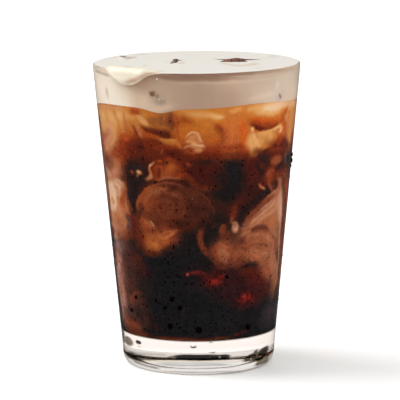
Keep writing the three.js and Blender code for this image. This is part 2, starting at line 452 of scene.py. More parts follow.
def on_coffee():
    """Gives a function that finds what a pixel of the photo shows on the coffee's side, through
    the glass: the azimuth in degrees from the front, to the right, and the height in mm."""
    xs = np.arange(PHOTO_LEFT, PHOTO_RIGHT, PHOTO_STEP) + PHOTO_STEP / 2
    ys = np.arange(PHOTO_TOP, PHOTO_BOTTOM, PHOTO_STEP) + PHOTO_STEP / 2
    right, up = np.meshgrid(xs - PHOTO_MIDDLE, PHOTO_MIDDLE - ys)
    ray = unit_length(np.stack([right, up, np.full_like(right, -LENS_PIXELS)], -1) @ VIEW.T)
    place, on_glass = cone_hit(EYE, ray, FOOT_RADIUS, WALL_SLOPE)
    tilt = -WALL_SLOPE * np.hypot(place[..., 0], place[..., 1])
    normal = unit_length(np.stack([place[..., 0], place[..., 1], tilt], -1))
    facing = -(ray * normal).sum(-1)
    bend = facing / GLASS_IOR - np.sqrt(1 - (1 - facing ** 2) / GLASS_IOR ** 2)
    ray = ray / GLASS_IOR + bend[..., None] * normal
    place, on_wall = cone_hit(place, ray, inner_radius(0), inner_radius(1) - inner_radius(0))
    x, y, z = place[..., 0], place[..., 1], place[..., 2]
    shown = on_glass & on_wall & (z > BASE_THICKNESS) & (z < GLASS_HEIGHT)
    found = np.stack([np.degrees(np.arctan2(x, -y)), z], -1)

    def find(x, y):
        across, down = (x - xs[0]) / PHOTO_STEP, (y - ys[0]) / PHOTO_STEP
        row = int(np.clip(round(down), 0, len(ys) - 1))
        first, *_, last = np.nonzero(shown[row])[0]
        within = float(np.clip(across, first + 1, last - 1))
        i, j = int(within), int(np.clip(down, 0, len(ys) - 2))
        u, v = within - i, min(max(down - j, 0), 1)
        upper = mix(found[j, i], found[j, i + 1], u)
        lower = mix(found[j + 1, i], found[j + 1, i + 1], u)
        azimuth, height = mix(upper, lower, v)
        return azimuth + PAST_THE_EDGE * (across - within), height

    return find


def tenth(value):
    return round(float(value), 1)


class Pencil:
    """Lays a mark of the photo, given in its pixels, on a surface in degrees and mm. find tells
    where a pixel lies on it, unit is its mm per degree, and step is the pixels that a pixel's
    size there is measured over."""

    def __init__(self, find, unit, step, thinnest):
        self.find = find
        self.unit = unit
        self.step = step
        self.thinnest = thinnest

    def pixel(self, x, y, right, down):
        """The size of a pixel in mm on the surface, in this direction."""
        right, down = right * self.step, down * self.step
        one, other = self.find(x + right, y + down), self.find(x - right, y - down)
        return math.hypot((one[0] - other[0]) * self.unit, one[1] - other[1]) / (2 * self.step)

    def place(self, x, y):
        azimuth, height = self.find(x, y)
        return tenth(azimuth), tenth(height)

    def spot(self, x, y, width, height, colours, strength, soft=0.9, turn=0, grain=0.05):
        """A round of colour, by its middle, its half width and its half height. strength is
        how much it covers of what is under it."""
        size = tenth(width * self.pixel(x, y, 1, 0)), tenth(height * self.pixel(x, y, 0, 1))
        return B, self.place(x, y), size, colours.split(), soft, turn, strength, grain

    def trail(self, points, widths, colours, strength, soft, grain=0.05):
        """A trail of colour along points, by its half width all along, or at steps of it. soft
        is how far its edges fade, or its left and its right one."""
        points, widths = np.array(points, float), np.atleast_1d(widths)
        spots, given = np.linspace(0, 1, len(points)), np.linspace(0, 1, len(widths))
        sizes = []
        for index, (x, y) in enumerate(points):
            way = points[min(index + 1, len(points) - 1)] - points[max(index - 1, 0)]
            way = way / np.hypot(*way)
            sizes.append(self.pixel(x, y, -way[1], way[0]))
        wide = np.interp(spots, given, widths) * sizes
        widths = [tenth(max(value, self.thinnest)) for value in wide]
        left, right = soft if isinstance(soft, tuple) else (soft, soft)
        soft = tenth(left * np.mean(sizes)), tenth(right * np.mean(sizes))
        path = [self.place(x, y) for x, y in points]
        return S, path, widths, colours.split(), soft, strength, grain


pencil = Pencil(on_coffee(), MM_PER_DEGREE, step=1, thinnest=0)
spot, trail = pencil.spot, pencil.trail
TRAILS = [
    # the golden clouds at the upper left
    spot(103, 118, 13, 12, "honey", 1, soft=1),
    spot(103, 114, 9, 5, "sand", 0.5),
    spot(120, 117, 16, 9, "sand honey", 0.85, soft=1),
    spot(110, 121, 7, 6, "sand", 0.6, soft=1),
    trail([(97, 106.5), (110, 107), (124, 109)], [1.2, 1.8, 1], "blush", 0.8, soft=(1.5, 2.5)),
    spot(103, 127, 7, 6, "sand", 0.6, soft=1),
    spot(127, 129, 8, 9, "caramel teak", 0.8, soft=1),
    trail([(121, 116), (121.5, 125), (123, 134)], [1, 1.6, 1], "honey", 0.6, soft=2.5),
    trail([(128, 118), (130, 126), (131, 134)], [1, 1.4, 0.6], "gold", 0.6, soft=2),
    trail([(130, 110), (135, 111.5), (141, 112.5)], [2, 2.6, 1.2], "teak rust", 0.9, soft=2.2),
    trail([(130, 112), (135, 114.4), (141, 115.6)], [1.4, 2, 1], "rust amber", 0.85, soft=1.4),
    spot(160, 119, 15, 9, "bronze", 1, soft=0.8),
    spot(170, 121, 5, 10, "chestnut", 0.75, soft=1),
    spot(152, 114, 8, 3, "ochre", 0.6, soft=1),
    spot(144, 114.5, 6, 3, "gold", 0.7, soft=1),
    trail([(134.6, 117), (141, 120), (150, 125.4)], [1.2, 3.6, 1.8], "honey wheat gold", 1,
          soft=(1.6, 1.2)),
    trail([(138, 118), (143, 121.4), (147, 124)], [0.5, 1.2, 0.5], "sand", 0.7, soft=1),
    trail([(148, 119), (153, 124), (160, 127)], [0.6, 1.4, 0.6], "bronze", 0.6, soft=2),
    # the dark wedge, and the gold under it
    spot(152, 142, 18, 6, "redbrown", 0.9, soft=1),
    trail([(128, 122), (132, 128), (134, 134)], [0.8, 1.6, 0.8], "gold", 0.7, soft=1.4),
    trail([(106, 111), (108, 120), (112, 126)], [0.5, 1, 0.5], "amber", 0.4, soft=2),
    trail([(113, 108), (116, 117), (121, 126)], [0.4, 0.9, 0.4], "amber", 0.45, soft=2),
    trail([(124, 111), (124.5, 118), (127, 125)], [0.4, 0.9, 0.5], "caramel", 0.6, soft=1.6),
    spot(140, 135, 9, 6, "rust", 0.75, soft=1),
    trail([(139, 125), (147, 129), (156, 131.5), (165, 133.5), (172, 135)], [0.8, 2.4, 3.4, 4.4, 3.4],
          "chestnut redbrown", 1, soft=(2.2, 1.6)),
    trail([(154, 131.5), (163, 134), (171, 136)], [0.8, 2.4, 2.6], "umber", 0.9, soft=(2.4, 1.4)),
    trail([(172.5, 112), (172, 121), (172.5, 131)], [0.8, 1.4, 1.2], "chestnut", 0.8, soft=(1.6, 2)),
    trail([(143, 132), (152, 136), (160, 139)], [0.6, 1.2, 0.8], "rust teak", 0.8, soft=(1, 2)),
    trail([(157, 138.6), (165, 141.6), (172, 142.6), (179, 141)], [0.6, 2, 2.8, 1.6],
          "wheat barley barley", 1, soft=(1, 2.4)),
    trail([(176.6, 141), (178.5, 145), (180, 149)], [1.2, 1.6, 0.8], "barley", 0.8, soft=(1.2, 2.2)),
    spot(166, 147, 9, 2.6, "rust", 0.7, soft=1, turn=-8),
    # the golden field right of the wedge
    spot(192, 122, 16, 12, "ochre", 0.95, soft=1),
    spot(188, 134, 9, 6, "amber", 0.7, soft=1),
    spot(185, 120, 9, 7, "rust spice", 0.85, soft=1),
    trail([(175, 113), (176, 123), (177, 133), (178.5, 141)], [1.2, 1.8, 1.6, 1], "rust teak", 0.9,
          soft=(1.4, 2.2)),
    trail([(180, 110.5), (195, 111), (212, 111)], [0.8, 1.2, 0.8], "honey", 0.6, soft=(1.5, 2)),
    # the pink veil at the left and the rust behind it
    spot(128, 150, 13, 16, "redbrown rust", 0.95, soft=1, turn=8),
    spot(118, 150, 8, 14, "rust", 0.8, soft=1),
    spot(134, 154, 12, 9, "redbrown", 0.7, soft=1),
    spot(103, 150, 5, 14, "rosewood", 0.8, soft=1),
    spot(112, 157, 6, 9, "teak", 0.8, soft=1),
    spot(121, 161, 7, 7, "rust", 0.7, soft=1),
    spot(101, 133, 3, 8, "blush", 0.6, soft=1),
    trail([(106, 124), (110, 129), (111.6, 134), (108, 141), (103.6, 148)], [1, 4.6, 5.4, 3.6, 1.6],
          "honey blush rose", 0.9, soft=(2.4, 1)),
    trail([(101.6, 138), (101.8, 148), (103, 156)], [1.2, 1.6, 0.8], "rose", 0.5, soft=2),
    spot(107.5, 172, 5, 10, "peach", 0.8, soft=1),
    trail([(111, 143), (109.5, 152), (109, 160)], [0.6, 1.2, 0.6], "rose", 0.6, soft=(1.5, 2)),
    spot(125.5, 139.5, 3.4, 2.2, "spark orange", 0.8, soft=1),
    trail([(134.6, 121), (137.5, 128), (139.6, 134), (142, 139)], [0.6, 1.6, 1.6, 0.6], "tan rose", 0.8,
          soft=1.2),
    trail([(133, 126), (135.5, 132), (137, 137)], [0.6, 1.4, 0.6], "redbrown", 0.7, soft=1.2),
    spot(140, 149, 12, 10, "maroon redbrown", 0.9, soft=1),
    spot(136, 142, 5, 5, "maroon", 0.5, soft=1),
    spot(158, 151, 14, 7, "redbrown", 0.85, soft=1),
    spot(171, 154, 12, 5, "maroon", 0.8, soft=1),
    trail([(152, 146), (160, 150), (167, 157)], [1, 2, 1], "rust", 0.5, soft=3),
    trail([(162, 148.5), (161.6, 152), (161, 156)], [0.4, 0.9, 0.4], "rosewood", 0.7, soft=1),
    # the dark hollow with its two golden knots
    spot(118, 168, 8, 14, "rust teak", 0.8, soft=1, turn=-8),
    spot(114, 172, 8, 12, "peach", 0.9, turn=-6),
    spot(114, 163, 6, 6, "tan", 0.6),
    spot(110, 163, 3.4, 7, "rosewood maroon", 0.7, soft=1),
    spot(136, 172, 15, 14, "shadow", 1, soft=0.6),
    spot(128, 181, 9, 7, "shadow umber", 0.9, soft=0.8),
    spot(141, 160, 11, 5, "maroon", 0.85, soft=1),
    spot(132, 173, 2.6, 2.4, "rust redbrown", 0.95, soft=0.7),
    trail([(130, 171.6), (132, 173.4)], [0.6, 0.9], "spark", 0.8, soft=0.8),
    spot(139.4, 173, 4, 2.8, "sand tan teak", 1, soft=0.6, turn=-10, grain=0.35),
    spot(138, 171.8, 1.6, 1.1, "cream", 0.7, soft=0.8),
    trail([(136.6, 175), (138.5, 177.5)], [0.5, 0.7], "caramel", 0.8, soft=0.7, grain=0.2),
    # the golden curl and its fold
    trail([(158.5, 162), (158, 169), (157.5, 176), (154, 183)], [3.2, 6, 7, 4], "teak rust redbrown", 1,
          soft=(1.2, 2), grain=0.12),
    trail([(160, 166), (160, 172), (158, 178)], [0.8, 1.8, 1], "maroon", 0.85, soft=1.4),
    trail([(155.8, 160.2), (153.6, 163.6), (151, 166), (150.3, 170), (151, 174.6), (147, 180)],
          [0.7, 1.1, 1.2, 1.1, 1.4, 2.2], "caramel tan teak", 0.95, soft=(0.5, 1), grain=0.15),
    trail([(152.6, 164), (151, 165.6), (150.6, 167.4)], [0.3, 0.5, 0.3], "cream", 0.8, soft=0.5),
    trail([(157, 160.8), (160.5, 160.6), (163, 161.4)], [0.5, 0.9, 0.6], "orange rust", 0.9,
          soft=(0.7, 0.8)),
    trail([(146, 180), (150, 177.6), (153, 176)], [1, 1.4, 0.8], "rose tan", 0.8, soft=(1, 1.4)),
    # the cone of rust over the disc
    spot(171, 172, 13, 13, "teak teak rust", 1, soft=0.8),
    spot(180, 176, 9, 7, "rust redbrown", 0.9, turn=-30),
    spot(172.5, 168, 4.4, 4.8, "amber", 0.6, soft=1),
    trail([(164, 161), (170, 160), (177, 163)], [0.8, 1.4, 0.8], "rust", 0.7, soft=2),
    trail([(155, 181), (165, 177.6), (176, 178), (186, 181.5)], [0.8, 1.8, 1.8, 0.8], "rosewood rose",
          0.75, soft=(1.8, 1.2)),
    trail([(178, 165), (184, 172), (191, 179), (197, 184)], [1, 1.8, 1.8, 1], "redbrown rust", 0.8,
          soft=2.2),
    spot(188, 165, 4, 3, "rust", 0.7, soft=1),
    spot(196, 174, 8, 8, "maroon", 0.8, soft=1),
    # the gold streak, and the soft hollow under it
    trail([(182, 113.6), (195, 114.6), (208, 116), (219, 117.6), (226, 118)], [2.6, 5, 5, 3.4, 1],
          "gold honey gold", 0.9, soft=3),
    spot(216, 117, 9, 4, "sand honey", 0.9, soft=1, turn=-8),
    spot(221, 117.6, 4.4, 2.2, "sand", 0.9, turn=-12),
    spot(206, 129, 12, 9, "ochre", 0.9, soft=1),
    spot(212, 140, 16, 6, "amber bronze", 0.8, soft=1),
    spot(208, 124, 7, 4, "gold", 0.6, soft=1),
    trail([(214, 124), (220, 128), (224, 133), (223.6, 139), (219, 145)], [1, 2.4, 3.4, 2.6, 1],
          "rust redbrown", 0.8, soft=(3, 3.4)),
    trail([(219, 128), (222.6, 131)], [0.5, 1.1], "chestnut", 0.6, soft=1.6),
    # the tan band and the orange pillar
    trail([(234, 108), (234, 122), (232, 134), (229, 148)], [5, 7, 7, 6], "caramel", 0.75, soft=5),
    trail([(229, 113), (235, 111), (243, 109)], [1.4, 2.2, 1.4], "honey", 0.55, soft=2),
    trail([(246, 116), (245, 128), (245.6, 140), (247.5, 151)], [3, 4.4, 4.2, 2.6],
          "caramel pumpkin pumpkin", 0.85, soft=(4.5, 2)),
    spot(247, 118, 6, 5, "gold", 0.7, soft=1),
    spot(243, 148, 5, 5, "rust", 0.7, soft=1),
    # the bright clouds at the upper right, with the orange hollow under them
    spot(262, 119, 18, 7, "amber", 0.95, soft=1),
    trail([(246, 110), (254, 108), (262, 106)], [1.6, 2.2, 1.6], "honey", 0.9, soft=(2, 2.4)),
    spot(273, 108, 17, 8.4, "sand sand honey", 1, soft=0.8, turn=5),
    spot(270, 108.4, 12, 4.6, "pale sand", 0.95, turn=4),
    spot(270, 108, 5, 2.2, "cream", 0.7, soft=1, turn=4),
    trail([(256, 110), (268, 112.5), (282, 111)], [1, 1.6, 0.8], "honey", 0.6, soft=(1.6, 2)),
    spot(278, 104.5, 18, 5, "linen", 0.55, turn=-6),
    spot(292, 104, 6, 6, "linen", 0.7),
    spot(289, 119, 7, 14, "wheat honey", 0.9),
    trail([(291, 108), (290, 125), (288, 146)], [2.4, 3, 2.4], "wheat wheat caramel", 0.9, soft=(1.4, 1)),
    trail([(250, 121), (260, 119.6), (271, 120), (281, 118)], [2, 3, 2.6, 1.2], "amber brick", 0.8,
          soft=(3, 2.4)),
    trail([(250, 123.6), (256, 125.6), (263, 126.6), (272, 125.4), (280, 121.6)], [1.6, 3.8, 4, 2.2, 0.8],
          "rust redbrown", 0.95, soft=(3.4, 1)),
    trail([(254, 126.6), (259, 129), (264, 129.6)], [1, 2.4, 1.2], "wine", 0.85, soft=(2, 1)),
    trail([(288, 106), (284.4, 112), (281.6, 118.6), (284, 126), (285, 134)], [0.6, 1.4, 1.8, 1.6, 1.6],
          "teak orange", 0.85, soft=(1.2, 1.6)),
    # the tooth of cream
    trail([(254, 143.4), (263, 140.6), (271, 136.6), (277.6, 132)], [9, 8.4, 6.4, 3],
          "honey wheat gold barley", 1, soft=(0.5, 1.8), grain=0.06),
    trail([(251.6, 131.6), (251.8, 142), (254, 153.6)], [2, 4.2, 3], "sand honey wheat", 1, soft=(0.5, 2),
          grain=0.06),
    spot(256, 151.4, 7, 4.4, "barley", 0.9, soft=0.8, turn=28),
    spot(252.4, 130, 1.6, 2.4, "sand", 1, soft=0.5),
    spot(258, 141, 8, 7, "honey wheat", 0.7, turn=-15),
    trail([(253, 134), (256, 141), (260, 149)], [0.6, 1.2, 0.6], "butter", 0.6, soft=1.6),
    trail([(250, 136), (251, 144), (253, 151)], [0.4, 0.7, 0.4], "butter", 0.6, soft=0.8),
    trail([(268, 134), (269.4, 139), (267, 144)], [1, 1.8, 1], "butter", 0.5, soft=2),
    trail([(254, 131), (257.4, 137), (260.6, 144)], [0.4, 0.7, 0.4], "barley", 0.25, soft=0.9),
    trail([(272, 132.6), (273.6, 136), (272, 140)], [0.4, 0.7, 0.4], "caramel", 0.45, soft=1),
    trail([(270.6, 129.4), (275.4, 127.4), (280, 126.6), (280.6, 130), (277.4, 131.6)],
          [0.4, 0.8, 1, 1, 0.5], "sand", 0.9, soft=(0.9, 1.1), grain=0.1),
    trail([(271, 130.6), (274.6, 131.6), (276.4, 134)], [0.3, 0.45, 0.3], "teak", 0.8, soft=0.6),
    # the dark red right of the tooth and under it
    spot(285, 144, 4, 8, "redbrown maroon", 0.9, soft=0.8),
    spot(276, 148, 10, 5, "redbrown", 0.85, turn=-30),
    spot(264, 154, 11, 5, "umber maroon", 0.9, turn=-20),
    trail([(258, 152), (262, 158), (268, 163)], [1.4, 2.6, 1.6], "cocoa shadow", 0.8, soft=2),
    spot(276.6, 159.6, 6.4, 5.6, "rosewood teak", 0.95, soft=0.5),
    spot(277, 174, 7, 7, "rust redbrown", 0.6),
    spot(284, 175, 4, 7, "teak rust", 0.6),
    spot(264, 159, 5.6, 5.4, "shadow", 0.85, soft=0.6, turn=-30),
    trail([(281, 164), (277, 167), (274, 171)], [1.4, 1.6, 0.8], "shadow", 0.8, soft=1),
    trail([(270, 151), (277, 149), (284, 150)], [0.8, 1.6, 1], "rust redbrown", 0.7, soft=1.6),
    spot(289.6, 157, 3.6, 7, "black", 1, soft=0.6),
    trail([(286, 150), (285, 157), (286, 165)], [0.4, 0.8, 0.4], "pewter", 0.5, soft=1),
    spot(250, 170, 10, 15, "maroon wine", 0.95, soft=0.8, turn=8),
    trail([(255, 160), (260, 169), (266, 178), (270, 185)], [1, 1.6, 1.8, 1.4], "shadow", 0.9, soft=1.6),
    spot(270, 173, 7, 8, "rosewood rust redbrown", 0.95, soft=0.7, turn=30),
    spot(262, 166, 3, 3, "redbrown", 0.7, soft=1),
    # the dark under the golden field
    spot(232, 151, 16, 6, "teak rust", 0.8),
    spot(230, 157, 17, 5, "rust redbrown", 0.75),
    spot(204, 156, 16, 5, "redbrown", 0.85, soft=1),
    spot(196, 150, 10, 4, "rust", 0.7, soft=1),
    spot(230, 162, 16, 4.5, "shadow cocoa", 0.9, soft=1),
    trail([(232, 160), (234, 172), (231, 186), (228, 202)], [9, 9, 10, 8], "night black night", 1,
          soft=6),
    spot(205, 162, 12, 3.6, "shadow", 0.8, soft=1),
    spot(204, 175, 12, 8, "maroon wine", 0.9, soft=0.8, turn=-20),
    # the white curl
    trail([(184, 142), (190, 139.4), (196, 141), (200, 146)], [2, 4.6, 5, 3.6], "caramel tan honey", 0.9,
          soft=(2, 1.8), grain=0.08),
    trail([(185, 138.4), (188, 135.4), (192, 133.6), (196, 135.4), (199, 139.4), (203, 143.6)],
          [0.4, 0.9, 1.3, 1.4, 1.2, 0.8], "linen sand tan", 0.85, soft=(1, 2), grain=0.06),
    spot(192, 137.6, 3.6, 2, "honey wheat", 0.7, soft=0.8),
    trail([(187, 140), (192, 139.8), (197, 141.6)], [0.4, 0.7, 0.5], "tan", 0.7, soft=1),
    trail([(182, 148), (189, 146.6), (196, 147), (203, 147)], [0.5, 1.1, 1.5, 1.4], "tan sand", 0.75,
          soft=(1.4, 1.6)),
    trail([(191, 144.6), (197, 145.4), (204.6, 146)], [0.4, 0.8, 1.4], "cream sand", 0.85, soft=0.8),
    trail([(194, 150.4), (198.6, 151.4), (203.4, 149.4)], [0.8, 1.8, 0.9], "honey tan", 0.9,
          soft=(0.9, 1.4)),
    trail([(183, 150.6), (190, 152.4), (197, 153)], [0.8, 1.4, 0.8], "teak", 0.7, soft=(1.4, 1.6)),
    # the pale column at the left
    spot(118.5, 208, 14, 32, "peach teak", 1, soft=0.35, turn=-7),
    spot(123.5, 214, 6, 18, "teak rust", 0.85, soft=0.8, turn=-8),
    spot(117, 204, 10, 26, "peach tan", 0.9, soft=0.6, turn=-4),
    trail([(109, 177), (110.5, 190), (112, 203), (113.5, 214)], [2.6, 4.4, 3.8, 1.6], "ivory", 0.95,
          soft=(0.8, 2.2)),
    trail([(113, 180), (120, 184), (125, 190), (122, 195)], [1.4, 2.4, 1.8, 0.8], "shellpink", 0.9,
          soft=(1.6, 1.8)),
    spot(118, 189, 5, 8, "shellpink", 0.8, soft=1),
    trail([(126.5, 182), (124.6, 192), (122.8, 202), (124.5, 211)], [1.4, 2, 2, 0.9], "rust teak", 0.9,
          soft=(1.6, 2)),
    trail([(116, 181), (121, 184.5), (124, 190), (120.6, 193)], [0.3, 0.5, 0.5, 0.3], "rose", 0.75,
          soft=(0.5, 0.6)),
    trail([(114, 184), (118, 188), (119, 194)], [0.3, 0.45, 0.3], "rose", 0.6, soft=0.6),
    trail([(122, 183), (125, 187), (127, 192)], [0.3, 0.5, 0.3], "tan", 0.6, soft=0.6),
    spot(113, 200.5, 1.9, 3.6, "honey tan", 0.85, soft=0.5),
    spot(118.4, 197.6, 1.3, 1.8, "rose", 0.8, soft=0.6),
    trail([(122.6, 204), (123.6, 208)], [0.8, 1.2], "caramel", 0.8, soft=0.8),
    spot(119, 221, 7, 9, "teak tan", 0.9, soft=0.8, turn=-10),
    spot(121, 222, 4, 6, "caramel tan", 0.7),
    spot(122.6, 226, 1.3, 1.4, "cedar", 0.75, soft=0.6),
    trail([(115, 212), (117, 222), (119, 231)], [0.8, 1.6, 1], "rose", 0.6, soft=1.6),
    spot(116.5, 228, 6, 11, "peach rose", 0.55, turn=-7),
    spot(125, 234, 6, 5, "teak sienna", 0.45),
    # a grey-purple painted shadow at the column's right side
    trail([(126, 213), (129.6, 219), (130.6, 226), (127, 233)], [1, 2.6, 3, 2], "dusk dustmauve", 0.9,
          soft=1.6),
    spot(124, 236, 10, 5, "cedar redbrown", 0.85, turn=10),
    # the black band beside it
    trail([(132, 174), (132, 188), (133, 200), (134, 210), (136, 218)], [4.4, 5.2, 4.8, 3.4, 1.8],
          "night shadow", 0.95, soft=(2, 2.4)),
    trail([(135, 182), (141, 184), (148, 183)], [2.6, 3, 1.8], "shadow", 0.9, soft=1.6),
    trail([(133, 212), (135.5, 222), (136.5, 232), (134, 241)], [2.4, 3.2, 3.2, 2.4], "redbrown claret",
          0.85, soft=2),
    trail([(128.5, 199), (130.5, 205), (133.6, 212)], [0.4, 0.7, 0.4], "teak", 0.6, soft=(0.7, 0.9)),
    # the disc, with a painted rim light along its top and a painted shade line under its lower edge
    spot(174, 207, 38, 25, "cedar cedar chestnut murk", 1, soft=0.14, grain=0.12),
    spot(196, 211, 22, 19, "murk cocoa", 0.85),
    spot(164, 206, 22, 20, "chestnut cedar", 0.7, soft=0.8),
    spot(150, 199, 9, 14, "sienna teak", 0.7, turn=-15),
    trail([(139, 213), (139.6, 203), (143.4, 194.6), (150, 188), (159, 184)], [1, 2.4, 3, 2.4, 0.8],
          "teak sienna", 0.9, soft=(1, 3)),
    trail([(144.6, 207), (147, 198.6), (153, 192.6), (161, 189.4), (171, 188.4)], [1, 3, 4, 3.4, 1.4],
          "copper cork sienna", 0.75, soft=(2.4, 3.4)),
    spot(143, 216, 4, 5, "sienna", 0.7),
    spot(191, 211, 4, 8, "chestnut murk", 0.7),
    # painted rim light along the disc's top
    trail([(146, 189.4), (155, 184.6), (166, 182.6), (177, 184), (187, 188.6)], [0.4, 0.9, 0.9, 0.8, 0.4],
          "rosewood", 0.75, soft=(0.8, 1.4)),
    trail([(168, 186), (178, 188), (186, 193), (190, 199)], [1, 2.6, 2.6, 1], "cocoa", 0.6, soft=2),
    spot(160, 213, 9, 7, "sienna cedar", 0.5),
    trail([(153, 202), (160, 196.6), (169, 196), (176, 200)], [0.5, 0.8, 0.8, 0.4], "murk", 0.3,
          soft=1.6),
    trail([(178, 197), (184, 204), (184, 212), (178, 219)], [0.5, 0.8, 0.8, 0.5], "rosewood", 0.35,
          soft=1.4),
    trail([(156, 208), (158, 216), (166, 221), (175, 221)], [0.4, 0.7, 0.7, 0.4], "murk", 0.3, soft=1.4),
    trail([(165, 201), (172, 203), (173, 209), (168, 212)], [0.4, 0.7, 0.6, 0.4], "rosewood", 0.25,
          soft=1.4),
    spot(173, 188, 7, 3.4, "murk", 0.55, turn=14),
    spot(177, 199, 5, 3, "murk", 0.4, turn=20),
    trail([(164, 192), (175, 194), (184, 199)], [0.5, 0.9, 0.5], "cork", 0.4, soft=1.4),
    trail([(186, 196), (192, 204), (191, 214), (184, 222)], [0.4, 0.8, 0.8, 0.4], "murk", 0.5, soft=1.2),
    spot(159.6, 206, 1.2, 1.6, "wine", 0.7, soft=0.6),
    spot(146, 206, 4, 8, "teak", 0.5, soft=1),
    spot(181, 224, 17, 7, "murk umber", 0.9, soft=0.8),
    # painted shade line under the disc's lower edge
    trail([(151, 221), (158, 227), (168, 230.4), (180, 231), (190, 228)], [0.5, 1.2, 2.4, 2.6, 1.4],
          "umber murk", 0.9, soft=(2, 0.8)),
    trail([(192, 188), (201, 193.6), (209, 201), (214, 210), (213, 218)], [0.4, 0.8, 0.8, 0.8, 0.4],
          "cedar", 0.6, soft=(1.2, 0.9)),
    trail([(143, 187), (151, 183.4), (161, 180.6), (172, 179.6), (184, 181.8), (195, 187), (203, 193)],
          [0.4, 0.8, 0.9, 1.5, 1.5, 1, 0.5], "umber murk", 0.85, soft=1),
    # the golden patch under the disc
    spot(158, 237, 23, 15, "teak sienna cedar", 1, soft=0.5, turn=8),
    spot(151, 236, 14, 17, "sienna cedar", 1, soft=0.7, turn=-14),
    spot(166, 239, 14, 9, "teak sienna", 0.9, soft=0.8, turn=22),
    trail([(139, 219), (145, 224), (148, 231)], [2.4, 4, 3], "teak sienna", 0.85, soft=(1.6, 2)),
    spot(146, 224, 6, 11, "teak sienna", 0.75, turn=-20),
    spot(150, 243, 10, 11, "copper teak", 0.85),
    spot(163, 235.6, 10, 5, "cork teak", 0.8, soft=0.8, turn=12),
    spot(155.5, 245, 9, 7, "gold copper teak", 0.9, turn=-10),
    spot(141, 240, 4, 8, "redbrown", 0.7),
    spot(153, 240, 5, 4, "copper", 0.6, soft=1),
    spot(163, 238.5, 6, 4.5, "caramel copper", 0.75, turn=-25),
    trail([(160, 243), (168, 238), (178, 232.6)], [1.4, 2.2, 1], "caramel teak", 0.7, soft=1.4),
    trail([(150, 219.8), (152, 223), (154.6, 227.8)], [0.4, 0.7, 0.4], "sand tan", 0.8, soft=(0.5, 0.8)),
    trail([(144, 221), (149, 223.6), (152, 227)], [0.8, 1.4, 0.7], "tan", 0.6, soft=1.2),
    trail([(152, 229), (155, 232), (158, 234.6)], [0.5, 0.9, 0.5], "chestnut", 0.8, soft=0.6),
    trail([(161, 232.5), (171, 232.5), (181, 230.8)], [0.5, 1, 0.5], "tan teak", 0.55, soft=(0.8, 1)),
    trail([(165, 238), (170, 236), (176, 233)], [0.3, 0.5, 0.3], "tan", 0.6, soft=0.6),
    trail([(167, 241), (172, 238), (178, 235)], [0.3, 0.5, 0.3], "murk", 0.5, soft=0.8),
    spot(143, 237, 1.8, 1.8, "wine", 0.85, soft=0.6),
    spot(138.6, 247, 5, 6, "redbrown murk", 0.7),
    spot(155, 235, 7, 6, "copper", 0.45),
    spot(151, 254, 10, 3.6, "redbrown umber", 0.8),
    spot(170, 249, 10, 5, "murk shadow", 0.7, turn=30),
    # the mauve at the left, under the column
    spot(122, 247, 14, 10, "dustmauve", 0.95, soft=0.8, turn=-22),
    spot(118, 246, 6, 7, "mauve", 0.8, soft=0.8),
    spot(130, 252, 9, 8, "murk shadow", 0.8),
    trail([(115, 252), (118, 262), (120.5, 275)], [2, 3.4, 2.4], "greypink rose", 0.9, soft=(1.6, 3)),
    spot(127, 262, 6, 6, "dustmauve", 0.6, soft=1),
    trail([(114, 218), (116.2, 230), (118.6, 241)], [3, 4.4, 2.6], "wing peach", 0.8, soft=(9, 2)),
    # a painted glow near the lower left edge
    spot(126, 318, 8, 9, "glow cedar", 0.6, turn=-8),
    # the plume over the disc's right end, and the dark beyond
    trail([(189, 181.6), (197, 186.6), (206, 189.2), (217, 187.4)], [1.6, 2.6, 2.8, 1.2],
          "redbrown cedar", 0.9, soft=1.4),
    trail([(196, 182), (204, 184), (214, 183)], [1, 1.6, 1], "maroon", 0.7, soft=2),
    spot(226, 193, 15, 9, "night", 1, soft=0.7),
    spot(219, 178, 10, 10, "night murk", 0.8, turn=20),
    spot(218, 186, 7, 5, "murk", 0.7, soft=1),
    spot(231, 210, 10, 8, "maroon murk", 0.85),
    spot(240, 201, 7, 9, "claret", 0.6, soft=1),
    spot(218, 217, 7, 6, "night", 0.85, soft=1),
    trail([(214, 200), (219, 208), (221, 217)], [0.8, 1.4, 0.9], "murk", 0.7, soft=1.6),
    # the knot of cream and its stalk
    spot(207, 227, 9, 8, "night murk", 0.95, soft=0.7),
    spot(213, 233, 7, 8, "night", 0.9, soft=1),
    trail([(204, 228.6), (200.6, 235), (200.8, 243), (203.4, 250), (208.6, 256.6)],
          [2, 3.2, 2.8, 2.8, 1.8], "cedar sienna cedar", 0.9, soft=(1.4, 1.8)),
    trail([(199, 226), (204, 221.6), (211, 222), (214, 227)], [0.6, 1.3, 1.3, 0.8], "murk", 0.8,
          soft=1.4),
    trail([(222, 234), (223.6, 228), (225.6, 224.6)], [2, 3, 1.8], "sienna cedar", 0.9, soft=1.2),
    spot(222, 237, 5, 4, "murk night", 0.7),
    trail([(236, 204), (235, 212), (233.4, 219), (232, 226)], [2, 3, 2.6, 1.8], "murk redbrown", 0.85,
          soft=2),
    spot(235, 212, 5, 9, "sienna redbrown", 0.6),
    trail([(232.4, 216), (232.6, 221), (232.6, 225)], [0.8, 1.4, 1], "rosewood", 0.7, soft=1.4),
    spot(227, 236, 8, 7, "cedar sienna", 0.85),
    spot(240, 243, 7, 7, "dusk murk", 0.85),
    spot(236, 227.6, 3.8, 5, "wing blush", 0.95, soft=0.4),
    spot(236.4, 228.8, 1.7, 2.2, "shellpink", 0.7, soft=0.7),
    spot(235.4, 225, 1.4, 1.2, "rosewood", 0.6, soft=0.7),
    trail([(239.6, 222.6), (240.6, 228), (238.6, 233)], [0.4, 0.6, 0.4], "dusk", 0.7, soft=(0.7, 0.9)),
    spot(245, 224.4, 2, 2, "rose dusk", 0.7, soft=0.6),
    trail([(233, 223.6), (235.6, 221.8), (238.4, 222.8)], [0.5, 0.9, 0.5], "blush", 0.6, soft=0.9),
    # the wing, with the dark along its upper edge
